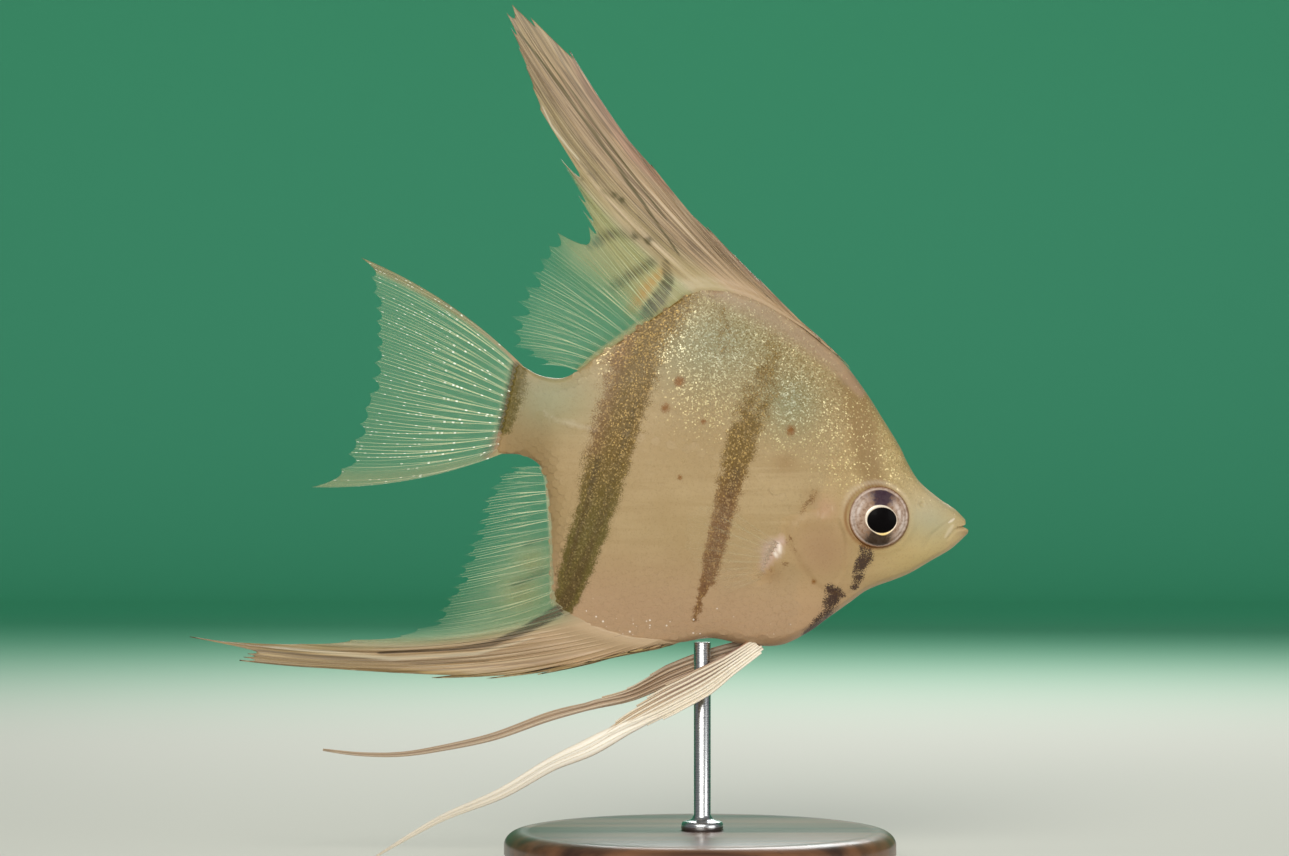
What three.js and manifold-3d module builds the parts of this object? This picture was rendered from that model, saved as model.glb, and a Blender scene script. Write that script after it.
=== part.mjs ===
// A freshwater angelfish (Pterophyllum scalare), life size, swimming nose down,
// held over a round base by one short rod.
//
// Millimetres, +Z up. The fish swims towards +X and its right side faces -Y.
// The origin is the middle of the underside of the base.

import * as THREE from 'three';
import { mergeVertices } from 'three/addons/utils/BufferGeometryUtils.js';
import Module from 'manifold-3d';

const wasm = await Module();
wasm.setup();

// ---------------------------------------------------------------------------
// Driving dimensions
// ---------------------------------------------------------------------------

const GAP = 0.3;          // clearance between neighbouring nodes
const ROOT_DEPTH = 1.6;   // how far a fin root is sunk before it is trimmed
const FAR = 40;           // half depth of a cutting prism, past either flank

// Body stations, from the snout to the tail root. Each one pairs a point of the
// upper outline with a point of the lower outline, as [x, z], and gives the
// greatest half width between them and the half width of either edge.
const STATIONS = [
  { upper: [38.0, 49.4], lower: [38.1, 47.4], half: 0.95, top: 0.55, bottom: 0.55 },
  { upper: [36.4, 51.0], lower: [35.7, 45.0], half: 1.95, top: 0.8, bottom: 0.8 },
  { upper: [34.3, 52.4], lower: [32.9, 43.3], half: 2.65, top: 0.9, bottom: 0.9 },
  { upper: [31.4, 54.9], lower: [30.0, 41.6], half: 3.3, top: 0.9, bottom: 0.9 },
  { upper: [29.7, 57.6], lower: [27.6, 40.6], half: 3.75, top: 0.9, bottom: 0.9 },
  { upper: [28.6, 59.9], lower: [25.6, 39.9], half: 4.1, top: 0.85, bottom: 0.9 },
  { upper: [25.9, 64.3], lower: [23.6, 39.0], half: 4.45, top: 0.8, bottom: 0.9 },
  { upper: [23.6, 67.9], lower: [21.4, 37.4], half: 4.8, top: 0.8, bottom: 1.0 },
  { upper: [20.4, 72.1], lower: [18.6, 35.4], half: 5.1, top: 0.75, bottom: 1.1 },
  { upper: [17.1, 74.9], lower: [15.4, 33.1], half: 5.25, top: 0.75, bottom: 1.3 },
  { upper: [13.6, 77.7], lower: [11.4, 31.3], half: 5.25, top: 0.75, bottom: 1.6 },
  { upper: [8.9, 80.6], lower: [6.4, 31.4], half: 5.1, top: 0.75, bottom: 1.6 },
  { upper: [4.6, 82.1], lower: [1.7, 32.3], half: 4.85, top: 0.75, bottom: 1.1 },
  { upper: [0.7, 82.4], lower: [-2.9, 31.7], half: 4.55, top: 0.75, bottom: 0.8 },
  { upper: [-2.1, 81.6], lower: [-7.9, 31.7], half: 4.2, top: 0.75, bottom: 0.75 },
  { upper: [-4.6, 79.9], lower: [-12.9, 32.7], half: 3.8, top: 0.75, bottom: 0.75 },
  { upper: [-6.9, 78.3], lower: [-17.4, 34.4], half: 3.45, top: 0.75, bottom: 0.75 },
  { upper: [-9.1, 76.7], lower: [-20.7, 37.0], half: 3.1, top: 0.75, bottom: 0.75 },
  { upper: [-11.1, 75.3], lower: [-21.2, 41.4], half: 2.8, top: 0.75, bottom: 0.75 },
  { upper: [-13.1, 74.0], lower: [-21.3, 47.1], half: 2.5, top: 0.75, bottom: 0.75 },
  { upper: [-15.0, 72.7], lower: [-21.7, 52.1], half: 2.3, top: 0.75, bottom: 0.75 },
  { upper: [-17.1, 71.0], lower: [-22.1, 55.4], half: 2.15, top: 0.75, bottom: 0.75 },
  { upper: [-19.7, 69.7], lower: [-23.4, 57.4], half: 1.95, top: 0.8, bottom: 0.8 },
  { upper: [-22.9, 70.1], lower: [-25.7, 58.5], half: 1.6, top: 0.75, bottom: 0.75 },
  { upper: [-25.7, 71.7], lower: [-28.7, 58.6], half: 1.1, top: 0.6, bottom: 0.6 },
];
const BODY_RIBS_PER_STATION = 2;
const BODY_ROWS = 18;     // faces from the lower to the upper outline
const SECTION_LEAN = 0.9; // below 1 the widest line lies under mid height
const SECTION_FULLNESS = 0.58; // below 1 the flanks are fuller than a sine

// Places along the body, as station numbers
const DORSAL_FROM = 8;
const DORSAL_TO = 21.2;
const ANAL_FROM = 13.1;
const ANAL_TO = 21.7;
const PELVIC_STATION = 10.7;
const ROD_STATION = 12.3;

// Low forms of the skin, each with its height and how wide it fades
const ORBIT_RIM = { height: 0.22, offset: 0.6, width: 0.55 };
const LIPS = { height: 0.22, width: 0.8 };
const CHEEK_BONE = { height: 0.16, width: 0.5 };
const CHEEK_HOLLOW = { place: [30.6, 46.4], height: -0.2, width: 2.2 };
const PECTORAL_SHOULDER = { place: [10.4, 43.8], height: 0.25, width: 2.8 };

// Eyes: a bulging disc in a close socket
const EYE_CENTRE = [25.6, 49.7];
const EYE_RADIUS = 4.2;
const EYE_DOME = 1.5;     // outer half, from the rim to the crown
const EYE_BOWL = 2.7;     // inner half, from the rim to the back
const EYE_RIM_INSET = 0.35; // rim plane below the skin of the cheek
const EYE_TURN = 0.11;    // radians that the gaze turns forward

// Gill cover: a plate let into the side of the head
const GILL_COVER = [
  [21.2, 50.6], [16.4, 50.6], [13.6, 49.8], [12.4, 47.6], [13.4, 44.6], [15.4, 41.6],
  [18.0, 39.2], [21.0, 38.9], [22.1, 41.6], [21.7, 46.4],
];
const PREOPERCLE = [[19.9, 49.3], [21.0, 45.7], [20.7, 42.1], [19.3, 39.6]]; // raised bend of bone
const GILL_PLATE = 0.75;  // plate thickness below the skin
const GILL_RAISE = 0.15;  // how proud the plate stands

// Cuts between the named parts, as lines across the side view
const NECK_CUT = [[24.6, 71.5], [19.7, 60.7], [16.6, 53.6], [15.6, 50.0], [15.4, 46.6],
  [16.4, 43.2], [18.0, 40.0], [19.4, 37.4], [20.4, 34.0]];
const TAIL_CUT = [[-15.9, 73.4], [-18.4, 66.6], [-20.7, 60.4], [-24.6, 54.4]];
const MOUTH_CUT = [[41.0, 48.5], [37.6, 48.3], [36.2, 48.0], [35.0, 47.0], [34.3, 45.6],
  [32.9, 44.6], [31.8, 41.0]];
const LIP_POINTS = 5;     // points of the mouth cut that lie between the lips
const NOSTRIL = [31.5, 51.6];
const NOSTRIL_RADIUS = 0.45;

// Dorsal fin: the spines end along the leading edge, the soft rays along the rear
const DORSAL_SPINES = 13;
const DORSAL_SOFT = 24;
const DORSAL_EDGE = [[20.4, 72.3], [9.0, 82.6], [-0.6, 92.1], [-8.8, 101.4], [-20.5, 117.6],
  [-26.9, 123.0]];
const DORSAL_REAR = [[0, -26.9, 123.0], [1, -27.7, 121.9], [2, -27.0, 119.6], [4, -24.9, 114.1],
  [6, -22.9, 108.1], [7, -19.9, 100.9], [9, -18.1, 97.9], [12, -16.0, 91.3],
  [13, -20.4, 90.4], [16, -24.2, 84.8], [19, -27.1, 78.4], [21, -26.7, 74.1], [24, -20.6, 70.2]];
const DORSAL_SPLIT = { after: 6, depth: 7 }; // between the long blade and the rear rays
const DORSAL_BOWS = [[0, 0], [10, 0.03], [16, 0.05], [22, 0.03], [28, -0.02], [36, -0.05]];
const DORSAL_SPINE_REACH = { share: 0.9, crowding: 1.5 };
const DORSAL_SWAY = 0.9;  // how far the tips lean to the left side
const DORSAL_ROWS = 6;

// Anal fin: the same plan, with a forked thread at its tip
const ANAL_SPINES = 6;
const ANAL_SOFT = 25;
const ANAL_SPLIT = { after: 2, depth: 14 }; // between the two threads of the tip
const ANAL_EDGE = [[-3.4, 31.5], [-9.3, 30.6], [-17.4, 29.3], [-22.5, 28.0], [-31.0, 27.3],
  [-40.3, 27.4], [-51.4, 28.1], [-65.7, 29.3]];
const ANAL_REAR = [[0, -65.7, 29.3], [2, -60.0, 29.2], [3, -72.9, 32.6], [5, -70.0, 32.0],
  [6, -57.1, 31.5], [8, -42.9, 32.7], [10, -38.1, 34.7], [13, -35.6, 39.6], [17, -33.4, 45.6],
  [21, -31.2, 52.0], [23, -29.0, 55.6], [25, -24.9, 57.8]];
const ANAL_BOWS = [[0, 0.01], [6, 0.045], [14, 0.05], [19, 0.01], [30, -0.02]];
const ANAL_SPINE_REACH = { share: 0.6, crowding: 1.3 };
const ANAL_FORK = { half: 1.2, at: 0.28, sharpness: 12 }; // the two threads stand apart
const ANAL_ROWS = 8;

// Tail fin
const CAUDAL_RAYS = 16;
const CAUDAL_BOW = 0.05;  // outward bend of the outer rays
const CAUDAL_SWAY = -1.6; // how far the rear edge swings to the right side
const CAUDAL_ROWS = 8;
const CAUDAL_REAR = [[0, -48.3, 86.7], [1, -46.9, 84.0], [3, -46.2, 79.6], [6, -46.1, 74.0],
  [9, -47.1, 67.4], [12, -49.2, 60.8], [14, -51.2, 56.6], [15, -55.3, 54.0]];

// Pelvic fins: long blades that thin to a thread. The path runs from the root in
// the belly as [x, y, z] steps, with y away from the middle plane, and the spans
// to either edge of the blade are [share of the path, lower, upper].
const PELVIC_RAYS = 6;
const PELVIC_STEPS = 20;
const PELVIC_ASIDE = 1.25;
const PELVIC_WEB = 0.3;   // half thickness of its membrane at the root
const PELVIC_RIGHT = {
  side: -1,
  path: [[0, 0, 0], [-3.9, 0.95, -2.6], [-7.9, 1.55, -5.1], [-12.9, 2.35, -7.6],
    [-18.2, 3.15, -10.5], [-23.5, 3.95, -13.9], [-29.2, 4.65, -16.2], [-36.2, 5.45, -19.2],
    [-44.7, 6.35, -23.6], [-53.6, 7.35, -29.1]],
  span: [[0, 1.2, 1.2], [0.08, 1.5, 1.5], [0.15, 2.1, 2.1], [0.24, 2.2, 2.2], [0.26, 1.6, 2.2],
    [0.33, 2.0, 2.3], [0.36, 2.0, 1.4], [0.42, 1.6, 1.6], [0.45, 1.5, 0.9], [0.54, 1.0, 1.0],
    [0.67, 0.75, 0.75], [0.82, 0.4, 0.4], [1, 0.2, 0.2]],
};
const PELVIC_LEFT = {
  side: 1,
  path: [[0, 0, 0], [-7.9, 1.65, -2.8], [-12.9, 2.45, -4.9], [-18.2, 3.35, -7.2],
    [-23.3, 4.05, -8.6], [-29.8, 4.95, -10.5], [-37.6, 5.95, -13.4], [-45.4, 6.75, -15.2],
    [-51.3, 7.35, -16.1], [-57.1, 7.75, -16.1], [-62.5, 8.15, -15.5]],
  span: [[0, 1.2, 1.2], [0.1, 1.3, 1.6], [0.2, 1.2, 1.7], [0.28, 1.1, 1.1], [0.37, 0.8, 0.9],
    [0.4, 0.7, 0.6], [0.6, 0.5, 0.5], [0.8, 0.32, 0.32], [1, 0.2, 0.2]],
};

// Pectoral fins: a clear fan that stands off the flank behind the gill cover
const PECTORAL_RAYS = 10;
const PECTORAL_TOP = [11.4, 45.8];
const PECTORAL_BOTTOM = [9.0, 41.4];
const PECTORAL_LENGTH = 17;
const PECTORAL_WEB = 0.7;       // how far the web falls short of the ray tips
const PECTORAL_FLARE = 0.6;     // radians off the flank
const PECTORAL_RISE = [0.62, -0.42]; // radians above level, top and bottom ray
const PECTORAL_SHARES = [[0, 0.8], [0.2, 1], [0.45, 0.88], [0.75, 0.62], [1, 0.4]]; // of its length
const PECTORAL_SINK = 0.65;     // how far the root starts below the skin
const PECTORAL_CURL = 0.18;     // share of the flare lost at the tips
const PECTORAL_ROWS = 6;

// Fin thickness, as half thickness
const MEMBRANE = 0.25;
const MEMBRANE_TIP = 0.16;
const RAY_ROOT = 0.45;
const RAY_TIP = 0.2;
const WEB_SHORTFALL = 0.9; // how far a web falls short of the tips of its rays

// Stand
const BASE_RADIUS = 28;
const BASE_HEIGHT = 5;
const BASE_STEP = 1.4;
const BASE_BEVEL = 0.6;
const BASE_SIDES = 40;
const ROD_RADIUS = 1.2;
const ROD_SIDES = 20;
const ROD_OVERRUN = 0.5;  // beyond the belly line, before it is trimmed to the skin
const COLLAR_RADIUS = 3.0;
const COLLAR_HEIGHT = 1.4;
const COLLAR_BEVEL = 0.4;

// ---------------------------------------------------------------------------
// Small maths
// ---------------------------------------------------------------------------

const lerp = (a, b, t) => a + (b - a) * t;
const clamp01 = (t) => Math.min(1, Math.max(0, t));
const bell = (distance, width) => Math.exp(-((distance / width) ** 2));

// A smooth value through evenly spaced numbers, at a fractional index.
function smooth(values, at) {
  const last = values.length - 1;
  const i = Math.min(last - 1, Math.max(0, Math.floor(at)));
  const t = at - i;
  const [p0, p1, p2, p3] = [-1, 0, 1, 2].map((k) => values[Math.min(last, Math.max(0, i + k))]);
  const lean1 = (p2 - p0) / 2;
  const lean2 = (p3 - p1) / 2;
  return ((2 * t - 3) * t * t + 1) * p1 + ((t - 2) * t + 1) * t * lean1
    + (3 - 2 * t) * t * t * p2 + (t - 1) * t * t * lean2;
}

// Straight interpolation in rows of [key, value, value...].
function keyed(rows, key) {
  let i = 0;
  while (i < rows.length - 2 && key > rows[i + 1][0]) i += 1;
  const t = clamp01((key - rows[i][0]) / (rows[i + 1][0] - rows[i][0]));
  return rows[i].slice(1).map((value, k) => lerp(value, rows[i + 1][k + 1], t));
}

// The distance in the side view from a point to a line of points.
function distanceToLine(point, line) {
  let best = Infinity;
  for (let i = 1; i < line.length; i += 1) {
    const [ax, az] = line[i - 1];
    const [bx, bz] = line[i];
    const run = (bx - ax) ** 2 + (bz - az) ** 2;
    const t = clamp01(((point[0] - ax) * (bx - ax) + (point[1] - az) * (bz - az)) / run);
    best = Math.min(best, Math.hypot(point[0] - lerp(ax, bx, t), point[1] - lerp(az, bz, t)));
  }
  return best;
}

// ---------------------------------------------------------------------------
// Solids
// ---------------------------------------------------------------------------

function solidOf(positions, triangles) {
  let volume = 0;
  const corner = (i) => new THREE.Vector3(positions[3 * i], positions[3 * i + 1], positions[3 * i + 2]);
  for (let i = 0; i < triangles.length; i += 3) {
    const [a, b, c] = [0, 1, 2].map((k) => corner(triangles[i + k]));
    volume += a.dot(b.cross(c));
  }
  const outward = volume > 0 ? triangles : triangles.slice().reverse();
  return new wasm.Manifold(new wasm.Mesh({
    numProp: 3,
    vertProperties: new Float32Array(positions),
    triVerts: new Uint32Array(outward),
  }));
}

function solidOfGeometry(geometry) {
  const bare = geometry.clone();
  bare.deleteAttribute('normal');
  bare.deleteAttribute('uv');
  const merged = mergeVertices(bare, 1e-5);
  return solidOf(Array.from(merged.attributes.position.array), Array.from(merged.index.array));
}

function geometryOf(solid) {
  const { vertProperties, triVerts } = solid.getMesh();
  const geometry = new THREE.BufferGeometry();
  geometry.setAttribute('position', new THREE.BufferAttribute(new Float32Array(vertProperties), 3));
  geometry.setIndex(new THREE.BufferAttribute(new Uint32Array(triVerts), 1));
  geometry.computeVertexNormals();
  return geometry;
}

function largest(solid) {
  return solid.decompose().sort((a, b) => b.volume() - a.volume())[0];
}

// A prism through the flanks: an outline in the side view, from y = near to y = far.
function prism(outline, near = -FAR, far = FAR) {
  const shape = new THREE.Shape(outline.map(([x, z]) => new THREE.Vector2(x, z)));
  const geometry = new THREE.ExtrudeGeometry(shape, { depth: far - near, bevelEnabled: false });
  geometry.rotateX(Math.PI / 2);
  geometry.translate(0, far, 0);
  return solidOfGeometry(geometry);
}

function normalsOf(line, closed) {
  const count = line.length;
  return line.map((_, i) => {
    const before = line[closed ? (i + count - 1) % count : Math.max(0, i - 1)];
    const after = line[closed ? (i + 1) % count : Math.min(count - 1, i + 1)];
    const run = Math.hypot(after[0] - before[0], after[1] - before[1]);
    return [(after[1] - before[1]) / run, (before[0] - after[0]) / run];
  });
}

const shifted = (line, normals, by) => (
  line.map(([x, z], i) => [x + normals[i][0] * by, z + normals[i][1] * by])
);

// A slab of the width of the gap along a line, through both flanks.
function gapAlong(line) {
  const normals = normalsOf(line, false);
  return prism([...shifted(line, normals, GAP / 2), ...shifted(line, normals, -GAP / 2).reverse()]);
}

// A closed smooth outline through a few points.
function rounded(points, steps) {
  const curve = new THREE.SplineCurve([...points, points[0]].map(([x, z]) => new THREE.Vector2(x, z)));
  return curve.getSpacedPoints(steps).slice(0, -1).map((p) => [p.x, p.y]);
}

// ---------------------------------------------------------------------------
// Body
// ---------------------------------------------------------------------------

const station = (pick) => STATIONS.map(pick);
const OUTLINES = {
  upper: { x: station((s) => s.upper[0]), z: station((s) => s.upper[1]), outward: 1 },
  lower: { x: station((s) => s.lower[0]), z: station((s) => s.lower[1]), outward: -1 },
};
const LAST_STATION = STATIONS.length - 1;

// A point of an outline, moved outward by a distance.
function outlinePoint(name, at, out = 0) {
  const { x, z, outward } = OUTLINES[name];
  const point = [smooth(x, at), smooth(z, at)];
  const step = 0.02;
  const [a, b] = [Math.max(0, at - step), Math.min(LAST_STATION, at + step)];
  const run = [smooth(x, b) - smooth(x, a), smooth(z, b) - smooth(z, a)];
  const length = Math.hypot(...run);
  return [point[0] + (outward * out * run[1]) / length, point[1] - (outward * out * run[0]) / length];
}

// Low forms of the skin, as a height over the plain section.
function relief([x, z]) {
  const form = ({ height, width }, distance) => height * bell(distance, width);
  const from = ([px, pz]) => Math.hypot(x - px, z - pz);
  return form(ORBIT_RIM, from(EYE_CENTRE) - EYE_RADIUS - ORBIT_RIM.offset)
    + form(LIPS, distanceToLine([x, z], MOUTH_CUT.slice(0, LIP_POINTS)))
    + form(CHEEK_BONE, distanceToLine([x, z], PREOPERCLE))
    + form(CHEEK_HOLLOW, from(CHEEK_HOLLOW.place))
    + form(PECTORAL_SHOULDER, from(PECTORAL_SHOULDER.place));
}

function bodyPoint(at, share, out) {
  const upper = outlinePoint('upper', at, out);
  const lower = outlinePoint('lower', at, out);
  const place = [lerp(lower[0], upper[0], share), lerp(lower[1], upper[1], share)];
  const edge = lerp(smooth(station((s) => s.bottom), at), smooth(station((s) => s.top), at), share);
  const swell = Math.max(0, Math.sin(Math.PI * share ** SECTION_LEAN)) ** SECTION_FULLNESS;
  const inner = clamp01(4 * share * (1 - share));
  const half = edge + (smooth(station((s) => s.half), at) - edge) * swell;
  return { place, half: half + inner * relief(place) + out };
}

// The whole body as one closed solid, grown outward by a distance.
function bodySolid(out = 0) {
  const ribs = LAST_STATION * BODY_RIBS_PER_STATION;
  const positions = [];
  const loop = 2 * (BODY_ROWS + 1);
  for (let i = 0; i <= ribs; i += 1) {
    const end = (i === ribs ? -out : 0) + (i === 0 ? out : 0);
    for (const side of [-1, 1]) {
      for (let j = 0; j <= BODY_ROWS; j += 1) {
        const share = (1 - Math.cos((Math.PI * j) / BODY_ROWS)) / 2;
        const { place, half } = bodyPoint(i / BODY_RIBS_PER_STATION, share, out);
        positions.push(place[0] + end, side * half, place[1]);
      }
    }
  }
  const at = (i, side, j) => i * loop + side * (BODY_ROWS + 1) + j;
  const triangles = [];
  const quad = (a, b, c, d) => triangles.push(a, b, c, a, c, d);
  for (let i = 0; i < ribs; i += 1) {
    for (let j = 0; j < BODY_ROWS; j += 1) {
      quad(at(i, 0, j), at(i + 1, 0, j), at(i + 1, 0, j + 1), at(i, 0, j + 1));
      quad(at(i, 1, j), at(i, 1, j + 1), at(i + 1, 1, j + 1), at(i + 1, 1, j));
    }
    quad(at(i, 0, 0), at(i, 1, 0), at(i + 1, 1, 0), at(i + 1, 0, 0));
    quad(at(i, 0, BODY_ROWS), at(i + 1, 0, BODY_ROWS), at(i + 1, 1, BODY_ROWS), at(i, 1, BODY_ROWS));
  }
  for (let j = 0; j < BODY_ROWS; j += 1) {
    quad(at(0, 0, j), at(0, 0, j + 1), at(0, 1, j + 1), at(0, 1, j));
    quad(at(ribs, 0, j), at(ribs, 1, j), at(ribs, 1, j + 1), at(ribs, 0, j + 1));
  }
  return solidOf(positions, triangles);
}

// The half width of the skin over a place in the side view.
function skinHalf([x, z]) {
  let best = { miss: Infinity, half: 0 };
  for (let at = 0; at <= LAST_STATION; at += 0.1) {
    const upper = outlinePoint('upper', at);
    const lower = outlinePoint('lower', at);
    const run = [upper[0] - lower[0], upper[1] - lower[1]];
    const share = clamp01(((x - lower[0]) * run[0] + (z - lower[1]) * run[1]) / (run[0] ** 2 + run[1] ** 2));
    const { place, half } = bodyPoint(at, share, 0);
    const miss = Math.hypot(place[0] - x, place[1] - z);
    if (miss < best.miss) best = { miss, half };
  }
  return best.half;
}

// ---------------------------------------------------------------------------
// Fins
// ---------------------------------------------------------------------------

// A closed sheet over a grid of points [column][row], each with a half
// thickness, split into triangles alike on both faces.
function sheetSolid(points, halves) {
  const columns = points.length;
  const rows = points[0].length;
  const pick = (c, r) => points[Math.min(columns - 1, Math.max(0, c))][Math.min(rows - 1, Math.max(0, r))];
  const faces = [[], []];
  for (let c = 0; c < columns; c += 1) {
    for (let r = 0; r < rows; r += 1) {
      const across = pick(c + 1, r).clone().sub(pick(c - 1, r));
      const along = pick(c, r + 1).clone().sub(pick(c, r - 1));
      const normal = across.cross(along).normalize().multiplyScalar(halves[c][r]);
      faces[0].push(pick(c, r).clone().add(normal));
      faces[1].push(pick(c, r).clone().sub(normal));
    }
  }
  const positions = faces.flat().flatMap((p) => p.toArray());
  const at = (face, c, r) => face * columns * rows + c * rows + r;
  const triangles = [];
  const quad = (a, b, c, d) => triangles.push(a, b, c, a, c, d);
  for (let c = 0; c < columns - 1; c += 1) {
    for (let r = 0; r < rows - 1; r += 1) {
      quad(at(0, c, r), at(0, c + 1, r), at(0, c + 1, r + 1), at(0, c, r + 1));
      triangles.push(at(1, c, r), at(1, c + 1, r + 1), at(1, c + 1, r));
      triangles.push(at(1, c, r), at(1, c, r + 1), at(1, c + 1, r + 1));
    }
    quad(at(0, c, 0), at(1, c, 0), at(1, c + 1, 0), at(0, c + 1, 0));
    quad(at(0, c, rows - 1), at(0, c + 1, rows - 1), at(1, c + 1, rows - 1), at(1, c, rows - 1));
  }
  for (let r = 0; r < rows - 1; r += 1) {
    quad(at(0, 0, r), at(0, 0, r + 1), at(1, 0, r + 1), at(1, 0, r));
    quad(at(0, columns - 1, r), at(1, columns - 1, r), at(1, columns - 1, r + 1), at(0, columns - 1, r + 1));
  }
  return solidOf(positions, triangles);
}

// A point on the bent line of a ray: bow is the sideways bend, as a share of
// its length, towards the left of its direction when positive.
function rayPoint(root, tip, bow, share) {
  const run = [tip[0] - root[0], tip[1] - root[1]];
  const bend = 4 * bow * share * (1 - share);
  return [root[0] + run[0] * share - run[1] * bend, root[1] + run[1] * share + run[0] * bend];
}

// A fin in the middle plane. rays is a list of { root, tip, bow }, with one
// more column for the web between two rays, drawn back from their tips.
function medianFin({ rays, rows, sway }) {
  const columns = [];
  rays.forEach((ray, i) => {
    columns.push({ ...ray, ridge: true });
    const next = rays[i + 1];
    if (!next) return;
    const mix = (key) => ray[key].map((value, k) => (value + next[key][k]) / 2);
    const [root, tip, bow] = [mix('root'), mix('tip'), (ray.bow + next.bow) / 2];
    const length = Math.hypot(tip[0] - root[0], tip[1] - root[1]);
    const back = 1 - Math.min(0.5, (ray.split ?? WEB_SHORTFALL) / length);
    columns.push({ root, tip: rayPoint(root, tip, bow, back), bow, ridge: false });
  });
  const points = columns.map(({ root, tip, bow }, c) => {
    const length = Math.hypot(tip[0] - root[0], tip[1] - root[1]);
    const sunk = -ROOT_DEPTH / length;
    return Array.from({ length: rows + 1 }, (_, r) => {
      const [x, z] = rayPoint(root, tip, bow, lerp(sunk, 1, r / rows));
      return new THREE.Vector3(x, sway(c / (columns.length - 1), clamp01(r / rows)), z);
    });
  });
  const halves = columns.map(({ ridge }) => Array.from({ length: rows + 1 }, (_, r) => (
    ridge ? lerp(RAY_ROOT, RAY_TIP, (r / rows) ** 1.5) : lerp(MEMBRANE, MEMBRANE_TIP, (r / rows) ** 3)
  )));
  return sheetSolid(points, halves);
}

// Evenly spaced places along an outline of the body.
function rootsAlong(name, from, to, count) {
  const fine = 200;
  const trail = Array.from({ length: fine + 1 }, (_, i) => outlinePoint(name, lerp(from, to, i / fine)));
  const lengths = [0];
  for (let i = 1; i <= fine; i += 1) {
    lengths.push(lengths[i - 1] + Math.hypot(trail[i][0] - trail[i - 1][0], trail[i][1] - trail[i - 1][1]));
  }
  return Array.from({ length: count }, (_, k) => {
    const wanted = (lengths[fine] * k) / (count - 1);
    return trail[lengths.findIndex((length) => length >= wanted - 1e-9)];
  });
}

// Spine tips stand along the leading edge, closer together at its foot.
function spineTips(edge, count, reach) {
  const line = new THREE.SplineCurve(edge.map(([x, z]) => new THREE.Vector2(x, z)));
  return Array.from({ length: count }, (_, i) => {
    const p = line.getPointAt(reach.share * ((i + 0.7) / count) ** reach.crowding);
    return [p.x, p.y];
  });
}

function dorsalFin() {
  const roots = rootsAlong('upper', DORSAL_FROM, DORSAL_TO, DORSAL_SPINES + DORSAL_SOFT);
  const tips = [
    ...spineTips(DORSAL_EDGE, DORSAL_SPINES, DORSAL_SPINE_REACH),
    ...Array.from({ length: DORSAL_SOFT }, (_, i) => keyed(DORSAL_REAR, i)),
  ];
  const rays = roots.map((root, i) => ({ root, tip: tips[i], bow: keyed(DORSAL_BOWS, i)[0] }));
  rays[DORSAL_SPINES + DORSAL_SPLIT.after].split = DORSAL_SPLIT.depth;
  return medianFin({ rays, rows: DORSAL_ROWS, sway: (_, out) => DORSAL_SWAY * out * out });
}

function analFin() {
  const roots = rootsAlong('lower', ANAL_FROM, ANAL_TO, ANAL_SPINES + ANAL_SOFT);
  const tips = [
    ...spineTips(ANAL_EDGE, ANAL_SPINES, ANAL_SPINE_REACH),
    ...Array.from({ length: ANAL_SOFT }, (_, i) => keyed(ANAL_REAR, i)),
  ];
  const rays = roots.map((root, i) => ({ root, tip: tips[i], bow: keyed(ANAL_BOWS, i)[0] }));
  rays[ANAL_SPINES + ANAL_SPLIT.after].split = ANAL_SPLIT.depth;
  const fork = (across) => ANAL_FORK.half * Math.tanh(ANAL_FORK.sharpness * (across - ANAL_FORK.at));
  return medianFin({ rays, rows: ANAL_ROWS, sway: (across, out) => fork(across) * out ** 3 });
}

function caudalFin() {
  const top = outlinePoint('upper', LAST_STATION);
  const bottom = outlinePoint('lower', LAST_STATION);
  const rays = Array.from({ length: CAUDAL_RAYS }, (_, i) => {
    const share = i / (CAUDAL_RAYS - 1);
    const root = [lerp(top[0], bottom[0], share), lerp(top[1], bottom[1], share)];
    return { root, tip: keyed(CAUDAL_REAR, i), bow: CAUDAL_BOW * (2 * share - 1) };
  });
  return medianFin({ rays, rows: CAUDAL_ROWS, sway: (_, out) => CAUDAL_SWAY * out * out });
}

// A pelvic fin: columns side by side along a path, each second one a ray.
function pelvicFin({ side, path, span }) {
  const [rootX, rootZ] = outlinePoint('lower', PELVIC_STATION);
  const curve = new THREE.CatmullRomCurve3(path.map(([x, y, z]) => (
    new THREE.Vector3(rootX + x, side * (PELVIC_ASIDE + y), rootZ + z)
  )));
  const columns = 2 * PELVIC_RAYS - 1;
  const points = Array.from({ length: columns }, () => []);
  const halves = Array.from({ length: columns }, () => []);
  for (let r = 0; r <= PELVIC_STEPS; r += 1) {
    const share = (r / PELVIC_STEPS) ** 1.15;
    const middle = curve.getPointAt(share);
    const along = curve.getTangentAt(share);
    const up = new THREE.Vector3(along.z, 0, -along.x).normalize();
    const [lower, upper] = keyed(span, share);
    for (let c = 0; c < columns; c += 1) {
      const across = lerp(-lower, upper, c / (columns - 1));
      const [thick, thin] = c % 2 === 0 ? [RAY_ROOT, RAY_TIP] : [PELVIC_WEB, MEMBRANE_TIP];
      points[c].push(middle.clone().addScaledVector(up, across));
      halves[c].push(lerp(thick, thin, share));
    }
  }
  return sheetSolid(points, halves);
}

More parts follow.
